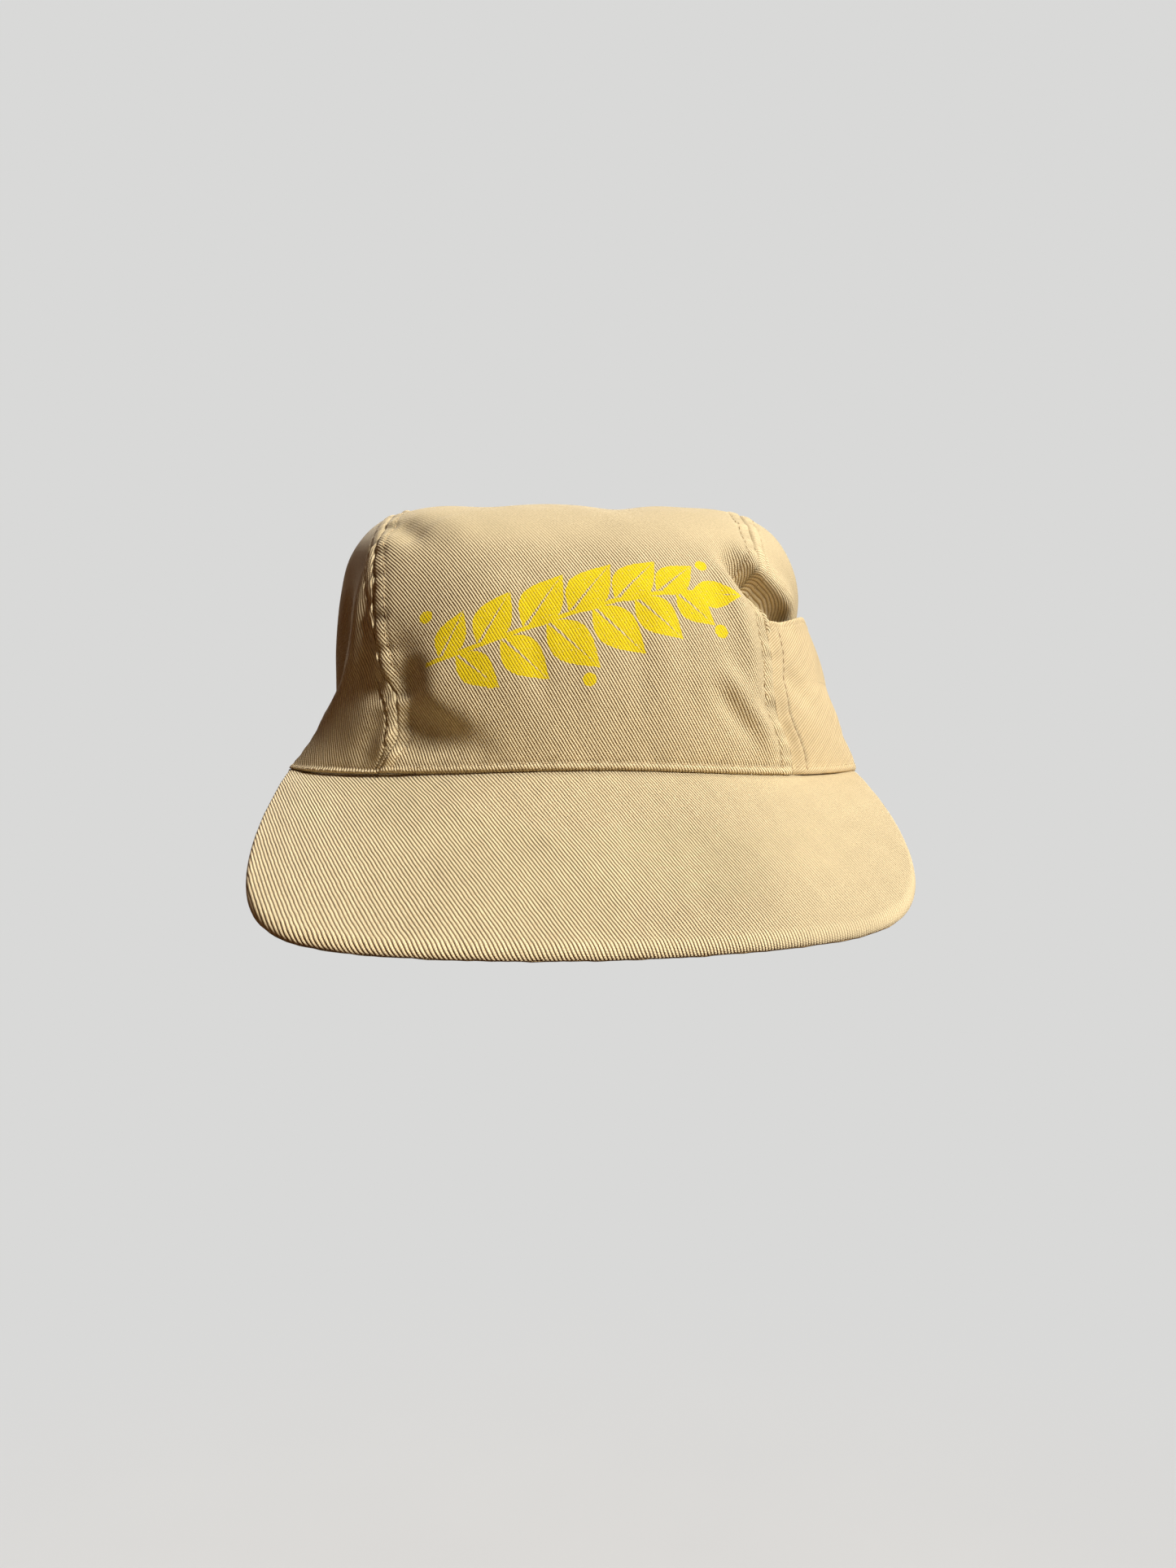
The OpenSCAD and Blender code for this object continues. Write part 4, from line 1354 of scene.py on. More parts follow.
    def build(self, twill: Material, printed: Material) -> None:
        """Builds and settles the five cloths."""
        for name, node, grid, finish, rests in (
                ("front_cloth", "front_panel", self.front(), printed, ("visor_core",)),
                ("side_cloth_left", "side_panel_left", self.side(1), twill, ("front_cloth",)),
                ("side_cloth_right", "side_panel_right", self.side(-1), twill, ("front_cloth",)),
                ("top_cloth_left", "top_panel_left", self.top(1), twill,
                 ("front_cloth", "side_cloth_left")),
                ("top_cloth_right", "top_panel_right", self.top(-1), twill,
                 ("front_cloth", "side_cloth_right"))):
            self.grids[name] = grid
            obj = sew_sheet(name, grid, finish, printed=finish is printed, pinched="side" in name)
            settle(obj, "twill", node)
            declare(obj, grid, "stretched", *rests)

    def stitch(self, thread: Material) -> None:
        """Sews the rows along the seams and the rim."""
        rows = StitchRow()
        g, seeds = self.grids, SeamSeed
        for name, edge, seed, trim in (
                ("front_cloth", Edge.LEFT, seeds.FRONT_RIGHT, 3),
                ("front_cloth", Edge.RIGHT, seeds.FRONT_LEFT, 3),
                ("front_cloth", Edge.TOP, seeds.CROSS, 6),
                ("side_cloth_left", Edge.TOP, seeds.SIDE_LEFT, 2),
                ("side_cloth_right", Edge.TOP, seeds.SIDE_RIGHT, 2),
                ("top_cloth_left", Edge.RIGHT, seeds.TOP_LEFT, 2),
                ("top_cloth_left", Edge.LEFT, seeds.MIDDLE, 2),
                ("top_cloth_left", Edge.BOTTOM, seeds.CROSS, 6),
                ("top_cloth_right", Edge.LEFT, seeds.TOP_RIGHT, 2),
                ("top_cloth_right", Edge.RIGHT, seeds.MIDDLE, 2),
                ("top_cloth_right", Edge.BOTTOM, seeds.CROSS, 6)):
            rows.sew(*g[name].line(edge, lambda along: self.seam.row_at(along, seed)), trim * MM)
        rows.sew(*g["front_cloth"].line(Edge.BOTTOM, self.rim.row.place), 0.5 * MM)
        for name in ("side_cloth_left", "side_cloth_right"):
            points, ways = g[name].line(Edge.BOTTOM, self.rim.row.place)
            fore = points[:, 1] < self.rim_row_to
            rows.sew(points[fore], ways[fore], 1.5 * MM)
            points, ways = g[name].line(Edge.BOTTOM, self.rim.hem_row.place)
            aft = points[:, 1] > self.hem_row_from
            rows.sew(points[aft], ways[aft], 1.0 * MM)
        settle(rows.build("crown_stitches", thread), "twill")


# ---- pocket

@dataclass
class Pocket:
    """Patch pocket on the wearer's left, open on top."""

    crown: Crown
    height: float = 54.0 * MM
    rear: float = 10.0 * MM
    mouth: float = -0.6 * MM
    belly: float = 6.7 * MM
    margin: float = 0.055
    cloth: float = 1.0 * MM
    rows: Spacing = Spacing(54 * MM, 0.4 * MM, 1.1 * MM, 6 * MM)
    cols: Spacing = Spacing(100 * MM, 0.45 * MM, 1.2 * MM, 8 * MM)
    # how far the mouth drops at the front, and over which share of the width
    dip: float = 0.095
    dip_to: float = 0.34
    # roundness of the belly across and up, and the shares of the width that lie on the crown's folds
    belly_power: Pair = (0.72, 0.87)
    laid: Pair = (0.16, 0.1)
    # the hem of the mouth, its end, its stitch row and the share of it that stands outward
    hem: float = 0.55 * MM
    hem_to: Pair = (2.2 * MM, 3.6 * MM)
    hem_row: Ridge = Ridge(-0.5 * MM, 0.45 * MM, 1.7 * MM)
    hem_out: float = 0.6
    # the lapped front edge and its stitch row, and the row at the rear edge
    lap_row: Ridge = Ridge(-0.50 * MM, 0.42 * MM, 5.6 * MM)
    lap: float = 1.3 * MM
    lap_to: float = 5.4 * MM
    gather: Sway = Sway(0.16 * MM, 9 * MM, 51)
    gather_at: Ridge = Ridge(1.0, 4.5 * MM, 4 * MM)
    rear_row: Ridge = Ridge(-0.4 * MM, 0.6 * MM, 2.2 * MM)
    # slack of the cloth, its drag lines, its seat on the panel and the share of the rim's relief
    slack: Sway = Sway(0.35 * MM, 26 * MM, 52)
    drags: tuple[Fold, ...] = (
        Fold(((66, -79, 33), (71, -77, 28), (77, -72, 21)), 3.6, -1.1),
        Fold(((80, -64, 13), (86, -58, 9), (90, -52, 5)), 3.2, -0.9))
    seat: float = -0.1 * MM
    rim_share: float = 0.8
    # rubbing of the mouth's edge, and painted shade in the lapped row's groove
    mouth_wear: float = 0.5
    mouth_wear_to: float = 1.2 * MM
    painted_groove_shade_w: float = 0.4 * MM

    def grid(self) -> ClothGrid:
        """Grid of the pocket from the band up to its mouth."""
        form = self.crown.form
        t_fine = np.linspace(0, math.radians(60), 800)
        seam = form.plain(t_fine, form.side_angle(form.seam_at(t_fine, 1), t_fine))
        rows, cols = self.rows.places()[:, None], self.cols.places()[None, :]
        dip = 1 - self.dip * (1 - step(0.0, self.dip_to, cols)) * rows
        z = self.height * rows * dip
        y_front = np.interp(z, seam[:, 2], seam[:, 1])
        y = mix(y_front, self.rear, cols)
        t, s = form.wall_angles(y, z, np.ones_like(y))
        p, n = form.flared(t, s), form.normal(t, s)
        up, across = run_length(p, 0), run_length(p, 1)
        drop, width = up[-1:] - up, across[:, -1:]
        w = np.clip((cols - self.margin) / (1 - self.margin), 0, 1)
        belly = self.mouth * rows + self.belly * np.sin(math.pi * rows ** self.belly_power[1])
        puff = np.sin(math.pi * w) ** self.belly_power[0] * belly
        free = step(0.0, self.laid[0], cols) * step(0.0, self.laid[1], 1 - cols)
        base = self.crown.folds.lift(p) * (1 - free)
        hem = self.hem * (1 - step(*self.hem_to, drop)) + self.hem_row.lift(drop)
        row = self.lap_row.lift(across) - self.lap * (1 - step(0, self.lap_to, across))
        row = row + self.gather.along(up) * self.gather_at.lift(across)
        tail = self.rear_row.lift(width - across)
        slack = self.slack.in_space(p) * np.sin(math.pi * w)
        skin = self.seat + puff + base + hem * self.hem_out + row + tail + slack
        for drag in self.drags:
            skin = skin + drag.lift(p)
        skin = skin + self.crown.rim.lift(up, across, p) * self.rim_share
        p = p.copy()
        p[..., 2] += self.crown.folds.seam_rise(p, p[..., 2], self.crown.seam_reach)
        outer = p + (skin + self.cloth)[..., None] * n
        inner = p + (skin - hem * (1 - self.hem_out))[..., None] * n
        worn = self.mouth_wear * (1 - step(0, self.mouth_wear_to, drop))
        # the mouth's edge is rubbed lighter; the lapped stitch row's groove gets painted shade
        wear_and_painted_shade = np.clip(worn - bell(across - self.lap_row.place, self.painted_groove_shade_w), -1, 1)
        return ClothGrid(outer, inner, across, up, wear_and_painted_shade)

    def build(self, twill: Material, thread: Material, shade_line_thread: Material) -> None:
        """Builds the pocket and its stitches."""
        grid = self.grid()
        obj = sew_sheet("pocket_cloth", grid, twill, Grain.CROSSWISE)
        settle(obj, "pocket_twill", "pocket_patch")
        declare(obj, grid, "stretched", "side_cloth_left")
        rows = StitchRow(length=2.3 * MM, gap=0.5 * MM, radius=0.15 * MM)
        rows.sew(*grid.line(Edge.TOP, self.hem_row.place), 1.0 * MM)
        rows.sew(*grid.line(Edge.RIGHT, self.rear_row.place), 1.5 * MM)
        rows.sew(*grid.line(Edge.BOTTOM, self.crown.rim.row.place), 1.0 * MM)
        settle(rows.build("pocket_stitches", thread), "pocket_twill")
        # the lapped row is sewn in dark thread, which paints the shade of its sunk groove as a thin dark
        # line
        lap = StitchRow(length=2.5 * MM, gap=0.3 * MM, radius=0.15 * MM)
        lap.sew(*grid.line(Edge.LEFT, self.lap_row.place), 1.0 * MM)
        settle(lap.build("pocket_lap_stitches", shade_line_thread), "pocket_twill")


# ---- visor

@dataclass
class Visor:
    """Stiff visor: a board in two covers that meet along the rounded edge."""

    form: CrownForm
    folds: FoldField
    reach: float = 68.0 * MM
    fall: float = 0.625
    ease: float = 0.40
    front_r: float = 300.0 * MM
    corner_power: float = 10.0
    twist: float = 0.014
    board: float = 1.8 * MM
    cloth: float = 1.0 * MM
    edge_w: float = 2.1 * MM
    wrap: float = 0.30
    across: Spacing = Spacing(300 * MM, 0.7 * MM, 1.8 * MM, 30 * MM)
    inward: Spacing = Spacing(64 * MM, 0.5 * MM, 1.5 * MM, 7 * MM)
    core_across: Spacing = Spacing(300 * MM, 0.9 * MM, 3 * MM, 30 * MM)
    # room at the ends and at the seam, seat below the rim, rise of the two ends, reach of the seam's waves
    end_room: float = 0.4 * MM
    seam_room: float = 0.2 * MM
    seat: float = 0.05 * MM
    end_rise: float = 0.4 * MM
    end_rise_from: float = 0.86
    seam_reach: float = 24 * MM
    # unevenness of the covers, calm near the edge and the seam, and the gathering along the edge
    sways: tuple[Sway, ...] = (Sway(0.22 * MM, 34 * MM, 61), Sway(0.10 * MM, 9 * MM, 63))
    edge_calm: float = 6 * MM
    seam_calm: float = 4 * MM
    gather: Sway = Sway(0.10 * MM, 8.5 * MM, 64)
    gather_w: float = 4 * MM
    # nap at the wearer's left; rubbing of the upper cover's edge and painted shade on the lower cover's
    # edge, both less where there is nap; and painted shade along the seam
    nap: float = 0.66
    nap_from: Pair = (30 * MM, 72 * MM)
    edge_wear_and_shade: Pair = (0.4, 0.6)
    edge_wear_and_shade_w: float = 2.0 * MM
    seam_painted_shade: Ridge = Ridge(-0.55, 1.2 * MM)
    # draw of the cloth round the two ends: along and across the wales, and the line where it begins
    drawn: Pair = (8.05, 12.1)
    drawn_from: float = 120 * MM
    # room of the board inside its covers, at the edge and on each face
    core_in: float = 0.3 * MM
    core_thin: float = 0.03 * MM
    # shares of the seam's arc over which the lower cover closes on the upper one, past the board's ends
    end_close: Pair = (0.965, 0.99)

    def edge(self, a: Array) -> Array:
        """Distance of the free edge from the centre of the seam."""
        form, b = self.form, np.abs(a)
        end = (form.visor_half + self.end_room) / np.maximum(1e-3, np.sin(b))
        d = form.arc_y + form.half_l + self.reach - self.front_r
        front = d * np.cos(a) + np.sqrt(self.front_r ** 2 - np.square(d * np.sin(a)))
        rim = (end ** -self.corner_power + front ** -self.corner_power) ** (-1 / self.corner_power)
        return np.maximum(rim, form.visor_r + self.seam_room)

    def slope(self, a: Array) -> Array:
        """Fall of the visor along its reach, less toward the two ends."""
        return self.fall - self.ease * np.square(a / self.form.arc_end)

    def point(self, a: Array, r: Array, o: Array) -> Array:
        """Point of the visor, o above the middle of the board."""
        k = self.slope(a)
        c = np.sqrt(1 + k * k)
        stack = self.board / 2 + self.cloth
        out = r - self.form.visor_r + self.cloth
        z = -k * out - self.seat + (o - stack) * c
        z = z + self.twist * r * np.sin(a) * np.clip(out / self.reach, 0, 1)
        z = z + self.end_rise * step(self.end_rise_from, 1.0, np.abs(a) / self.form.arc_end)
        a, r, z = np.broadcast_arrays(a, r, z)
        p = np.stack([r * np.sin(a), self.form.arc_y - r * np.cos(a), z], -1)
        p[..., 2] += self.folds.seam_rise(p, np.broadcast_to(out, z.shape), self.seam_reach)
        return p

    def grid(self, side: int) -> ClothGrid:
        """Grid of the upper (1) or lower (-1) cover, from the edge in to the seam."""
        form = self.form
        a = mix(-form.arc_end, form.arc_end, self.across.places())[None, :]
        if side < 0:
            a = a[:, ::-1]
        e = self.edge(a)
        b = np.maximum(form.visor_r, e - self.edge_w)
        turn = np.linspace(0.03 - side * self.wrap, 1, 15)[:, None] * math.pi / 2
        stack = self.board / 2 + self.cloth
        flat = self.inward.places()[1:, None]
        r = np.concatenate([b + (e - b) * np.cos(turn), mix(b, form.visor_r - self.cloth, flat)])
        o = np.concatenate([stack * np.sin(turn) * np.ones_like(a), np.full((len(flat), a.shape[1]), stack)])
        r_in = np.concatenate([b + (np.maximum(e - b - self.cloth, 0)) * np.cos(turn),
                               mix(b, form.visor_r - self.cloth, flat)])
        o_in = np.concatenate([(self.board / 2) * np.sin(turn) * np.ones_like(a),
                               np.full((len(flat), a.shape[1]), self.board / 2)])
        middle = self.point(a, r, np.zeros_like(o))
        soft = sum(sway.in_space(middle, side) for sway in self.sways)
        along = run_length(middle[:1], 1)
        rim = e - r
        soft = soft * step(0, self.edge_calm, rim) + self.gather.along(along) * bell(rim, self.gather_w)
        soft = soft * step(0, self.seam_calm, r - form.visor_r + self.cloth)
        close = self.board * step(*self.end_close, np.abs(a) / form.arc_end) * (side < 0)
        outer = self.point(a, r, side * (o + soft) + close)
        inner = self.point(a, r_in, side * (o_in + soft) + close)
        c = np.sqrt(1 + self.slope(a) ** 2)
        leg = np.hypot(np.diff(r, axis=0), np.diff(o, axis=0))
        cut = r[-1:] + np.concatenate([np.cumsum(leg[::-1], axis=0)[::-1], np.zeros_like(a)])
        rho, psi = cut * c, a / c
        nap = self.nap * step(*self.nap_from, middle[..., 0])
        # the upper cover's edge is rubbed lighter, and the lower cover's edge, which faces down, gets
        # painted shade
        wear_and_painted_shade = (self.edge_wear_and_shade[0] - self.edge_wear_and_shade[1] * nap) * side * bell(rim, self.edge_wear_and_shade_w)
        # painted shade in the crease along the visor seam
        wear_and_painted_shade = wear_and_painted_shade + self.seam_painted_shade.lift(r - form.visor_r)
        u, v = side * rho * np.sin(psi), -rho * np.cos(psi)
        return ClothGrid(outer, inner, u, v, wear_and_painted_shade, nap, self.pull(u, v))

    def pull(self, u: Array, v: Array) -> Array:
        """How far the cloth is drawn across its wales, where it goes round the two ends."""
        return self.drawn[0] * u ** 3 - self.drawn[1] * u ** 2 * (v + self.drawn_from)

    def core(self) -> ClothGrid:
        """Grid of the stiff board between the covers."""
        form = self.form
        end = self.end_close[0] * form.arc_end
        a = mix(-end, end, self.core_across.places())[None, :]
        free = np.maximum(form.visor_r, self.edge(a) - self.cloth - self.core_in)
        r = mix(free, form.visor_r - self.cloth, np.linspace(0, 1, 26)[:, None])
        half = np.full(r.shape, self.board / 2 - self.core_thin)
        return ClothGrid(self.point(a, r, half), self.point(a, r, -half), r * np.sin(a), -r * np.cos(a))

    def build(self, top: Material, under: Material, board: Material) -> None:
        """Builds the board and its two covers."""
        settle(sew_sheet("visor_core", self.core(), board, pinched=True), "board", "visor_board")
        for name, node, side, finish, slot in (
                ("visor_cloth", "visor_top_cover", 1, top, "visor_twill"),
                ("visor_under_cloth", "visor_under_cover", -1, under, "visor_under")):
            grid = self.grid(side)
            cover = settle(sew_sheet(name, grid, finish, Grain.VISOR, pinched=True), slot, node)
            declare(cover, grid, "stretched", "visor_core")


# ---- lining

@dataclass
class Lining:
    """Sweatband and seam tapes inside the crown."""

    crown: Crown
    band_h: float = 32.0 * MM
    band_t: float = 1.2 * MM
    band_end: float = math.radians(138)
    band_rows: Spacing = Spacing(32 * MM, 0.5 * MM, 1.6 * MM, 5 * MM)
    # gap behind the band, its padding, its stitch row and its waves above the hem
    band_gap: float = 0.55 * MM
    padding: float = 0.35 * MM
    padding_from: float = 3 * MM
    band_row: Ridge = Ridge(-0.25 * MM, 0.7 * MM, 4 * MM)
    wave: Sway = Sway(0.12 * MM, 14 * MM, 71)
    wave_r: float = 0.09
    wave_from: Pair = (4 * MM, 16 * MM)
    tape_w: float = 16.0 * MM
    tape_t: float = 0.6 * MM
    tape_in: float = 1.45 * MM
    tape_row: Ridge = Ridge(0.12 * MM, 0.6 * MM, 1.6 * MM)

    def layer(self, t: Array, s: Array, o: Array) -> Array:
        """Points o outside the folded crown."""
        form = self.crown.form
        p = form.flared(t, s)
        lift = self.crown.folds.lift(p) + o
        return p + self.crown.folds.lean(p) + lift[..., None] * form.normal(t, s)

    def band(self) -> ClothGrid:
        """Grid of the sweatband."""
        form = self.crown.form
        z = (self.band_rows.places() * self.band_h)[:, None]
        a = np.linspace(-self.band_end, self.band_end, 260)[None, :]
        b = form.half_l * form.oval(z / form.height)
        y = -b * np.cos(a) / form.gauge(a, 2 + np.maximum(0, np.cos(a)))
        t, s = form.wall_angles(y, z * np.ones_like(a), np.where(a < 0, -1.0, 1.0))
        rim = np.minimum(z, self.band_h - z)
        puff = self.padding * step(0, self.padding_from, rim) + self.band_row.lift(self.band_h - z)
        wave = self.wave.along(a * self.wave_r) * step(*self.wave_from, z)
        back = -(self.crown.cloth + self.band_gap) * np.ones_like(t)
        front = back - self.band_t - puff - wave
        outer, inner = self.layer(t, s, back), self.layer(t, s, front)
        return ClothGrid(outer, inner, run_length(outer, 1), run_length(outer, 0))

    def strip(self, t: Array, x: Array) -> ClothGrid:
        """Grid of a tape from arch angles and places across."""
        s = self.crown.form.side_angle(x, t)
        t = np.broadcast_to(t, s.shape)
        o = -self.tape_in * np.ones_like(s)
        outer = self.layer(t, s, o)
        across = run_length(outer, 1)
        edge = np.minimum(across, across[:, -1:] - across)
        inner = self.layer(t, s, o - self.tape_t + self.tape_row.lift(edge))
        return ClothGrid(outer, inner, across, run_length(outer, 0))

    def build(self, band_finish: Material, tape: Material, thread: Material) -> None:
        """Builds the sweatband, the four tapes and the stitches on them."""
        form, half = self.crown.form, self.tape_w / 2
        grid = self.band()
        band = settle(sew_sheet("sweatband_cloth", grid, band_finish), "sweatband_cloth", "sweatband")
        declare(band, grid, "stretched", "front_cloth")
        rows = StitchRow(length=2.6 * MM, gap=0.6 * MM, radius=0.2 * MM)
        for edge, inset in ((Edge.TOP, self.band_row.place), (Edge.BOTTOM, 2.5 * MM)):
            rows.sew(*grid.turned().line(edge, inset), 2 * MM)
        lanes = np.linspace(-1, 1, 15)[None, :] * half
        step_a = half / form.height
        t_from, t_to = math.radians(22.5), math.pi - math.radians(24.5)
        back_end = float(form.back_angle(np.array(0.0), np.array(form.arch_h + 9.5 * MM)))
        t_long = np.linspace(t_from, t_to, 170)[:, None]
        plans = (
            ("seam_tape_left_cloth", "seam_tape_left", t_long, form.seam_at(t_long, 1) + lanes),
            ("seam_tape_right_cloth", "seam_tape_right", t_long, form.seam_at(t_long, -1) + lanes),
            ("seam_tape_top_cloth", "seam_tape_top",
             np.linspace(form.front_end - step_a, form.front_end + step_a, 15)[:, None],
             np.linspace(-1, 1, 70)[None, :] * (form.seam_x - half - 0.8 * MM)),
            ("seam_tape_back_cloth", "seam_tape_back",
             np.linspace(form.front_end + step_a + 0.008, back_end, 60)[:, None], lanes))
        for name, node, t, x in plans:
            x = np.broadcast_to(x, np.broadcast(t, x).shape)
            grid = self.strip(t, np.where(np.abs(x) < 1e-9, 1e-9, x))
            declare(settle(sew_sheet(name, grid, tape), "tape", node), grid, "stretched", "front_cloth")
            edges = (Edge.TOP, Edge.BOTTOM) if "top" in node else (Edge.LEFT, Edge.RIGHT)
            for edge in edges:
                rows.sew(*grid.turned().line(edge, 2.0 * MM), 2 * MM)
        settle(rows.build("lining_stitches", thread), "tape")


# ---- closure

@dataclass
class Closure:
    """Bound arch and the two halves of the snap strap."""

    crown: Crown
    bind_w: float = 8.0 * MM
    bind_in: float = 0.7 * MM
    bind_t: float = 0.7 * MM
    strap_w: float = 16.0 * MM
    strap_t: float = 1.3 * MM
    strap_z: float = 1.5 * MM
    pitch: float = 9.4 * MM
    hole_r: float = 2.65 * MM
    holes: tuple[int, ...] = (-2, -1, 0, 1, 2, 3)
    gather: Sway = Sway(0.16 * MM, 6 * MM, 81)
    gather_r: float = 62 * MM
    puff: float = 0.25 * MM
    hinge: float = math.radians(31)
    root: float = math.radians(44)
    # rings of faces round a hole as shares of the way to the edge, and faces along the edge of one pitch
    rings: tuple[float, ...] = (0.0, 0.18, 0.5, 1.0)
    edge_n: int = 10
    side_n: int = 8
    tip_round: float = 0.62
    tip_past: float = 2.0 * MM
    bevel: float = 0.28 * MM
    bevel_from: float = 1.0
    # half of the angle over which the strap bends, and the stitch row of the binding
    bend: float = 0.035
    bind_stitch: float = 1.6 * MM

    def strap_radii(self) -> Pair:
        """Centre of the strap's bend along Y and its inner radius."""
        form = self.crown.form
        centre = form.half_l - form.half_w ** 2 / form.half_l
        rim = form.half_l - centre
        out = self.bind_in + self.bind_t
        return centre, rim - self.crown.cloth / 2 - out - 0.3 * MM - self.strap_t

    def binding(self) -> ClothGrid:
        """Grid of the binding, folded round the edge of the arch."""
        form = self.crown.form
        l = np.linspace(0, math.pi, 150)[:, None]
        bend = np.linspace(math.pi / 2, -math.pi / 2, 15)
        lane = np.linspace(1, 0, 12)[:-1]
        grids = []
        for r in (self.bind_in + self.bind_t, self.bind_in):
            b = np.concatenate([lane * self.bind_w, -np.cos(bend) * r, lane[::-1] * self.bind_w])
            o = np.concatenate([np.full(11, r), np.sin(bend) * r, np.full(11, -r)])
            x = (form.arch_w / 2 + b) * np.cos(l)
            z = (form.arch_h + b) * np.sin(l)
            t = np.where(z < 1e-6, math.pi, form.back_angle(x, np.maximum(z, 0)))
            x = np.where(np.abs(x) < 1e-9, 1e-9, x)
            s = form.side_angle(x, t)
            p = form.flared(t, s)
            edge = np.concatenate([lane, np.zeros(15), lane[::-1]]) * self.bind_w
            puff = self.puff * np.sin(math.pi * np.clip(edge / self.bind_w, 0, 1)) * np.sign(o)
            gather = self.gather.along(l * self.gather_r) * np.sign(o)
            if r > self.bind_in:
                o = o + puff + gather
            lift = self.crown.folds.lift(p) + o - self.crown.cloth / 2
            grids.append(p + lift[..., None] * form.normal(t, s))
        outer, inner = grids[0][:, ::-1], grids[1][:, ::-1]
        return ClothGrid(outer, inner, run_length(outer, 1), run_length(outer, 0))

    def hole_strap(self) -> bpy.types.Mesh:
        """Mesh of the holed strap with its sewn end, in one moulding."""
        mid = self.strap_radii()[1] + self.strap_t / 2
        half_h, half_p = self.strap_w / 2, self.pitch / 2
        corner = math.atan2(half_h, half_p)
        corners = (-corner, corner, math.pi - corner, math.pi + corner, 2 * math.pi - corner)
        counts = (self.edge_n, self.side_n) * 2
        turns = np.concatenate([np.linspace(a, b, count + 1)[:-1]
                                for a, b, count in zip(corners[:-1], corners[1:], counts)])
        tip_r = self.strap_w * self.tip_round
        tip_q = -(2 * self.pitch + self.hole_r + self.tip_past)
        bm = bmesh.new()

        def vert(q: float, h: float) -> bmesh.types.BMVert:
            """New flat point at a length along the strap and a height."""
            return bm.verts.new((q, h, 0.0))

        for k in self.holes:
            q0 = k * self.pitch
            loops = []
            for share in self.rings:
                ring = []
                for a in turns:
                    c, s = math.cos(a), math.sin(a)
                    far = min(half_p / max(abs(c), 1e-9), half_h / max(abs(s), 1e-9))
                    if k == self.holes[0] and c < 0.5:
                        d = q0 - (tip_q + tip_r)
                        far = min(half_h / max(abs(s), 1e-9) if c < 0 else far,
                                  -d * c + math.sqrt(max(0.0, tip_r ** 2 - (d * s) ** 2)))
                    r = mix(self.hole_r, far, share)
                    ring.append(vert(q0 + r * c, r * s))
                loops.append(ring)
            n = len(turns)
            for low, high in zip(loops[:-1], loops[1:]):
                for i in range(n):
                    bm.faces.new((low[i], high[i], high[(i + 1) % n], low[(i + 1) % n]))
        heights = half_p * np.tan(np.linspace(-corner, corner, self.edge_n + 1))
        lanes = np.linspace((self.holes[-1] + 0.5) * self.pitch, self.root * mid, 18)
        sheet = [[vert(q, h) for h in heights] for q in lanes]
        for left, right in zip(sheet[:-1], sheet[1:]):
            for i in range(self.edge_n):
                bm.faces.new((left[i], right[i], right[i + 1], left[i + 1]))
        bmesh.ops.remove_doubles(bm, verts=bm.verts, dist=1e-6)
        bmesh.ops.recalc_face_normals(bm, faces=bm.faces)
        made = bmesh.ops.extrude_face_region(bm, geom=bm.faces[:])
        for v in (g for g in made["geom"] if isinstance(g, bmesh.types.BMVert)):
            v.co.z = self.strap_t
        bmesh.ops.recalc_face_normals(bm, faces=bm.faces)
        sharp = [e for e in bm.edges if len(e.link_faces) == 2 and e.calc_face_angle() > self.bevel_from]
        bmesh.ops.bevel(bm, geom=sharp, offset=self.bevel, segments=2, profile=0.5, affect="EDGES")
        centre, radius = self.strap_radii()
        for v in bm.verts:
            q, h, e = v.co
            a, r = q / mid, radius + e
            v.co = (r * math.sin(a), centre + r * math.cos(a), self.strap_z + self.strap_w / 2 + h)
        bmesh.ops.recalc_face_normals(bm, faces=bm.faces)
        mesh = bpy.data.meshes.new("snap_strap")
        bm.to_mesh(mesh)
        bm.free()
        shade_smooth(mesh, 40)
        return mesh

    def build(self, bind: Material, thread: Material, plastic: Material) -> None:
        """Builds the binding, its stitches and the holed strap."""
        grid = self.binding()
        bound = settle(sew_sheet("arch_binding_cloth", grid, bind), "binding", "arch_binding")
        declare(bound, grid, "folded", "top_cloth_left", "top_cloth_right")
        rows = StitchRow(length=2.3 * MM, gap=0.6 * MM, radius=0.2 * MM)
        for edge in (Edge.LEFT, Edge.RIGHT):
            rows.sew(*grid.line(edge, self.bind_stitch), 2 * MM)
        settle(rows.build("binding_stitches", thread), "binding")
        strap = add_object("snap_strap", self.hole_strap(), plastic)
        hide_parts("hole_strap", "hole_strap_tab")
        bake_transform(strap)
        LOG.info("snap_strap: %d points", len(strap.data.vertices))


# ---- studio

@dataclass(frozen=True)
class Lamp:
    """A distant lamp: where it stands, its strength and how soft its shadows are."""

    name: str
    way: Triple
    strength: float
    soft_deg: float
    tint: Triple = (1.0, 1.0, 0.98)

    def build(self) -> None:
        """Puts the lamp in the scene."""
        data = bpy.data.lights.new(self.name, "SUN")
        data.energy, data.angle, data.color = self.strength, math.radians(self.soft_deg), self.tint
        obj = bpy.data.objects.new(self.name, data)
        bpy.context.scene.collection.objects.link(obj)
        obj.rotation_euler = (-Vector(self.way)).to_track_quat("-Z", "Y").to_euler()


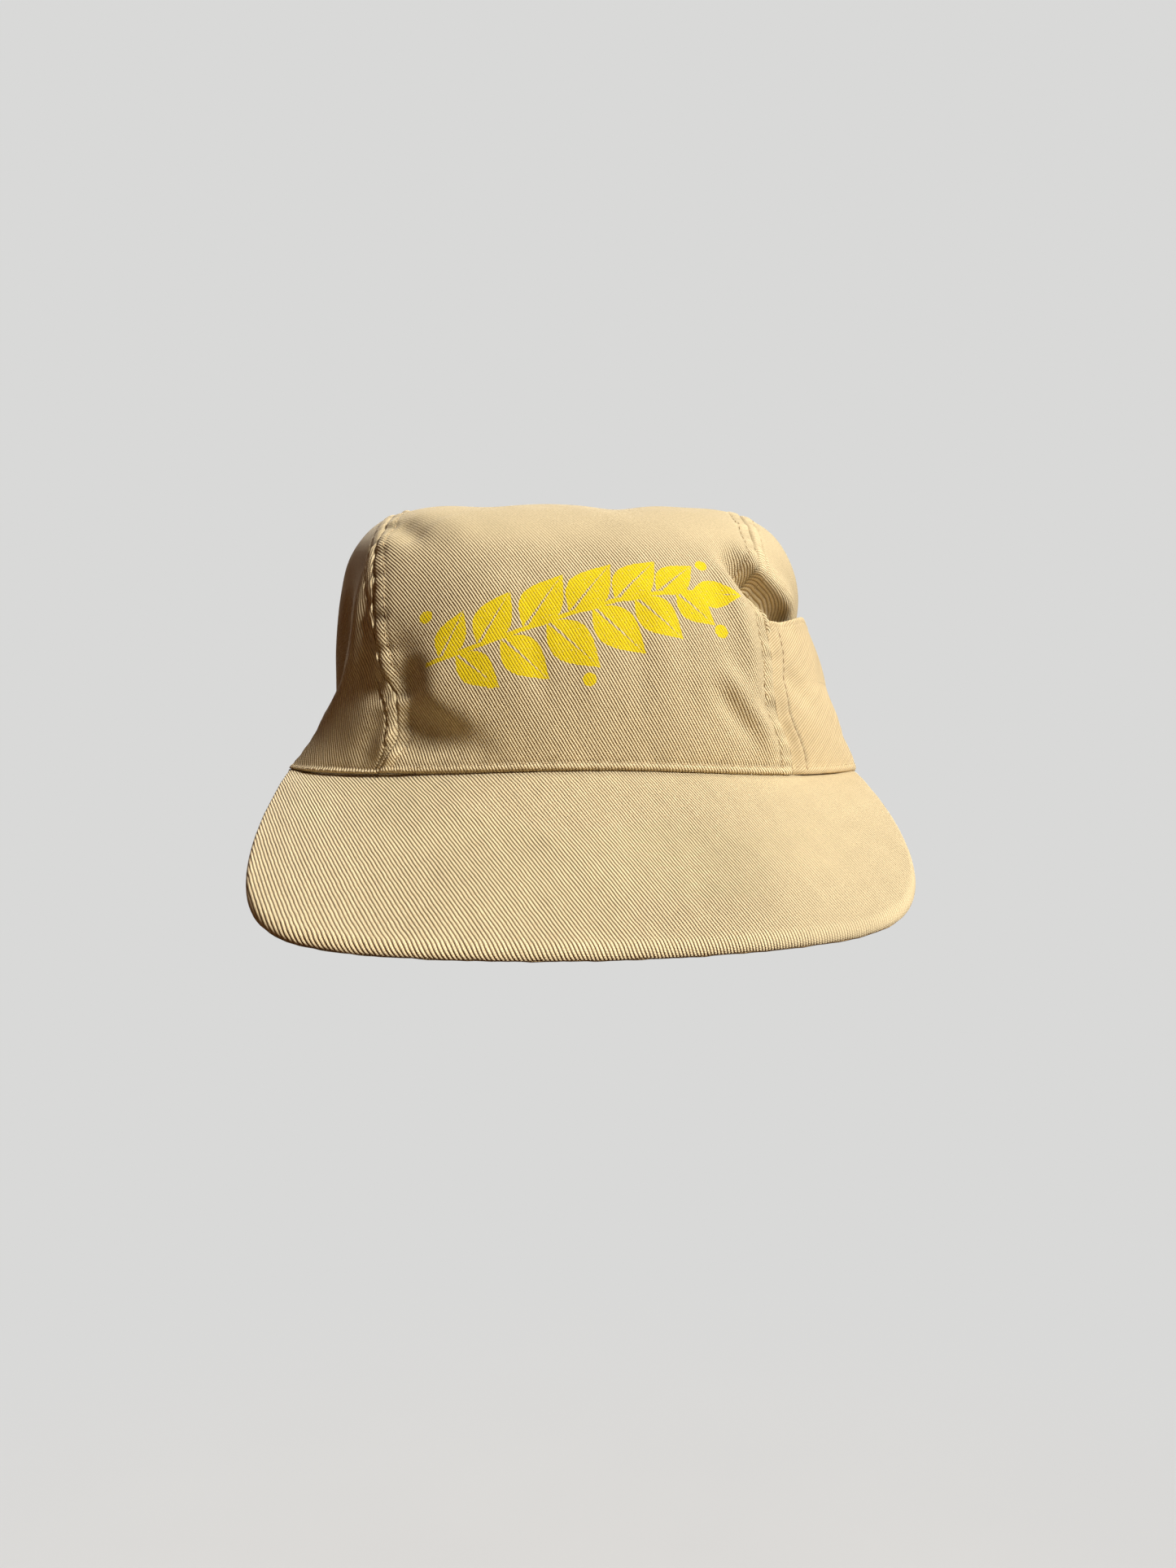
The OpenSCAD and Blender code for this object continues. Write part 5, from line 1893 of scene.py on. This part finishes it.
@dataclass
class Studio:
    """Plain pale stage, soft light and the camera."""

    eye: Triple = (-0.01405, -0.45084, -0.0035)
    look: Triple = (0.0471, 0.9989, 0.0)
    focal_px: float = 1430.0
    frame_px: float = 1927.0
    floor_z: float = -1.0
    floor_r: float = 2.0
    floor_n: int = 96
    wall_r: float = 0.9
    wall_top: float = 3.2
    # the key stands on the side of the pocket, the others behind and below
    lamps: tuple[Lamp, ...] = (
        Lamp("key", (0.616, -0.464, 0.636), 5.15, 16),
        Lamp("back", (-0.12, 0.87, 0.48), 1.8, 40),
        Lamp("under", (0.10, 0.70, -0.71), 1.3, 50))
    fill: float = 0.078
    fill_tint: Colour = (1.0, 0.44, 0.15, 1.0)
    paper: Colour = tone(217, 217, 216)
    shade: Colour = tone(215, 215, 215)

    def camera(self) -> None:
        """Camera at the viewing angle of the photograph."""
        data = bpy.data.cameras.new("view")
        data.sensor_width = 36.0
        data.lens = data.sensor_width * self.focal_px / self.frame_px
        data.clip_start, data.clip_end = 0.01, 50.0
        cam = bpy.data.objects.new("view", data)
        bpy.context.scene.collection.objects.link(cam)
        cam.location = self.eye
        cam.rotation_euler = Vector(self.look).to_track_quat("-Z", "Y").to_euler()
        bpy.context.scene.camera = cam

    def stage(self) -> None:
        """Round floor that fades into an even pale backdrop."""
        desk = Desk("studio_paper")
        place = desk.add("ShaderNodeTexCoord").outputs["Object"]
        cloud = desk.noise(place, 3.0, 3.0, 0.5)
        tint = desk.blend(cloud, self.shade, self.paper)
        desk.put(desk.scale(tint, desk.map(cloud, 0.3, 0.7, 0.74, 0.76)), desk.shader.inputs["Base Color"])
        desk.fix(Roughness=0.95, Specular_IOR_Level=0.1)
        far = desk.add("ShaderNodeVectorMath", operation="LENGTH")
        desk.put(place, far.inputs[0])
        glow = desk.add("ShaderNodeEmission")
        glow.inputs["Color"].default_value = self.paper
        glow.inputs["Strength"].default_value = 1.0
        both = desk.add("ShaderNodeMixShader")
        out = next(n for n in desk.tree.nodes if n.type == "OUTPUT_MATERIAL")
        desk.put(desk.map(far.outputs["Value"], 0.45, self.floor_r, 0.0, 1.0, True), both.inputs[0])
        desk.put(desk.shader.outputs["BSDF"], both.inputs[1])
        desk.put(glow.outputs[0], both.inputs[2])
        desk.put(both.outputs[0], out.inputs["Surface"])
        bend, count = np.linspace(0, math.pi / 2, 24), self.floor_n
        r = np.concatenate([np.linspace(0, self.floor_r, 12)[:-1], self.floor_r + self.wall_r * np.sin(bend),
                            [self.floor_r + self.wall_r]])
        z = np.concatenate([np.zeros(11), self.wall_r * (1 - np.cos(bend)), [self.wall_top]])
        turn = np.linspace(0, 2 * math.pi, count + 1)[:-1]
        points = np.stack([r[:, None] * np.cos(turn), r[:, None] * np.sin(turn),
                           np.broadcast_to(z[:, None], (len(r), count))], -1)
        i = np.arange(len(r) - 1)[:, None] * count
        j = np.arange(count)[None, :]
        k = (j + 1) % count
        faces = np.stack([i + j, i + count + j, i + count + k, i + k], -1).reshape(-1, 4)
        mesh = bpy.data.meshes.new("studio_floor")
        mesh.from_pydata(points.reshape(-1, 3).tolist(), [], faces.tolist())
        shade_smooth(mesh)
        obj = add_object("studio_floor", mesh, desk.material)
        obj.location.z = self.floor_z
        obj.visible_shadow = obj.visible_diffuse = obj.visible_glossy = False

    def light(self) -> None:
        """The lamps and a warm even fill, which is seen as pale paper."""
        for lamp in self.lamps:
            lamp.build()
        world = bpy.data.worlds.new("studio")
        world.use_nodes = True
        nodes, links = world.node_tree.nodes, world.node_tree.links
        warm, plain = nodes["Background"], nodes.new("ShaderNodeBackground")
        warm.inputs["Color"].default_value = self.fill_tint
        warm.inputs["Strength"].default_value = self.fill
        plain.inputs["Color"].default_value = self.paper
        both, path = nodes.new("ShaderNodeMixShader"), nodes.new("ShaderNodeLightPath")
        seen = path.outputs["Is Camera Ray"]
        for ray in ("Is Glossy Ray", "Is Transmission Ray"):
            either = nodes.new("ShaderNodeMath")
            either.operation = "MAXIMUM"
            links.new(seen, either.inputs[0])
            links.new(path.outputs[ray], either.inputs[1])
            seen = either.outputs[0]
        links.new(seen, both.inputs[0])
        links.new(warm.outputs[0], both.inputs[1])
        links.new(plain.outputs[0], both.inputs[2])
        links.new(both.outputs[0], nodes["World Output"].inputs["Surface"])
        bpy.context.scene.world = world

    def build(self) -> None:
        """Sets up camera, stage and light."""
        self.camera()
        self.stage()
        self.light()
        bpy.context.scene.view_settings.view_transform = "Standard"


# ---- main

def main() -> None:
    """Builds the cap piece by piece."""
    logging.basicConfig(level=logging.INFO, format="%(name)s %(message)s")
    Studio().build()
    twill = TwillFinish("khaki_twill").build()
    printed = TwillFinish("khaki_twill_printed", artwork=SprigPrint()).build()
    visor_twill = TwillFinish("visor_twill", pitch=0.92 * MM, relief=0.38 * MM).build()
    # the visor's lower cover is a darker copy of the twill: painted shade for the cloth that faces down
    under = TwillFinish("visor_under_twill_painted_shade", ridge=tone(206, 178, 130), groove=tone(136, 100, 54)).build()
    # the pocket's copy of the twill has paler grooves: less painted groove shade on a patch that faces the
    # key lamp
    pocket_twill = TwillFinish("pocket_twill", ridge=tone(233, 211, 167), groove=tone(180, 152, 106),
                               pitch=0.74 * MM, relief=0.2 * MM).build()
    binding = TwillFinish("binding_twill", relief=0.2 * MM).build()
    band = TapeFinish("sweatband_cotton", pitch=0.6 * MM).build()
    tape = TapeFinish("seam_tape").build()
    thread = ThreadFinish("sewing_thread").build()
    plastic = MouldedFinish("tan_plastic", tone(196, 168, 120), tone(178, 148, 100)).build()
    board = MouldedFinish("pressed_board", tone(236, 236, 232), tone(220, 219, 213), (0.6, 0.8)).build()
    form = CrownForm()
    crown = Crown(form, FoldField())
    crown.build(twill, printed)
    crown.stitch(thread)
    # dark thread for the pocket's lapped row: painted shade of its sunk groove
    shade_line_thread = ThreadFinish("brown_thread_painted_shade", tone(158, 120, 70), tone(98, 68, 34)).build()
    Pocket(crown).build(pocket_twill, thread, shade_line_thread)
    Visor(form, crown.folds).build(visor_twill, under, board)
    Lining(crown).build(band, tape, thread)
    Closure(crown).build(binding, thread, plastic)
    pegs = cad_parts["peg_strap"].data
    pegs.materials.clear()
    pegs.materials.append(plastic)
    LOG.info("peg_strap: solid kept with a new finish")


if __name__ == "__main__":
    main()
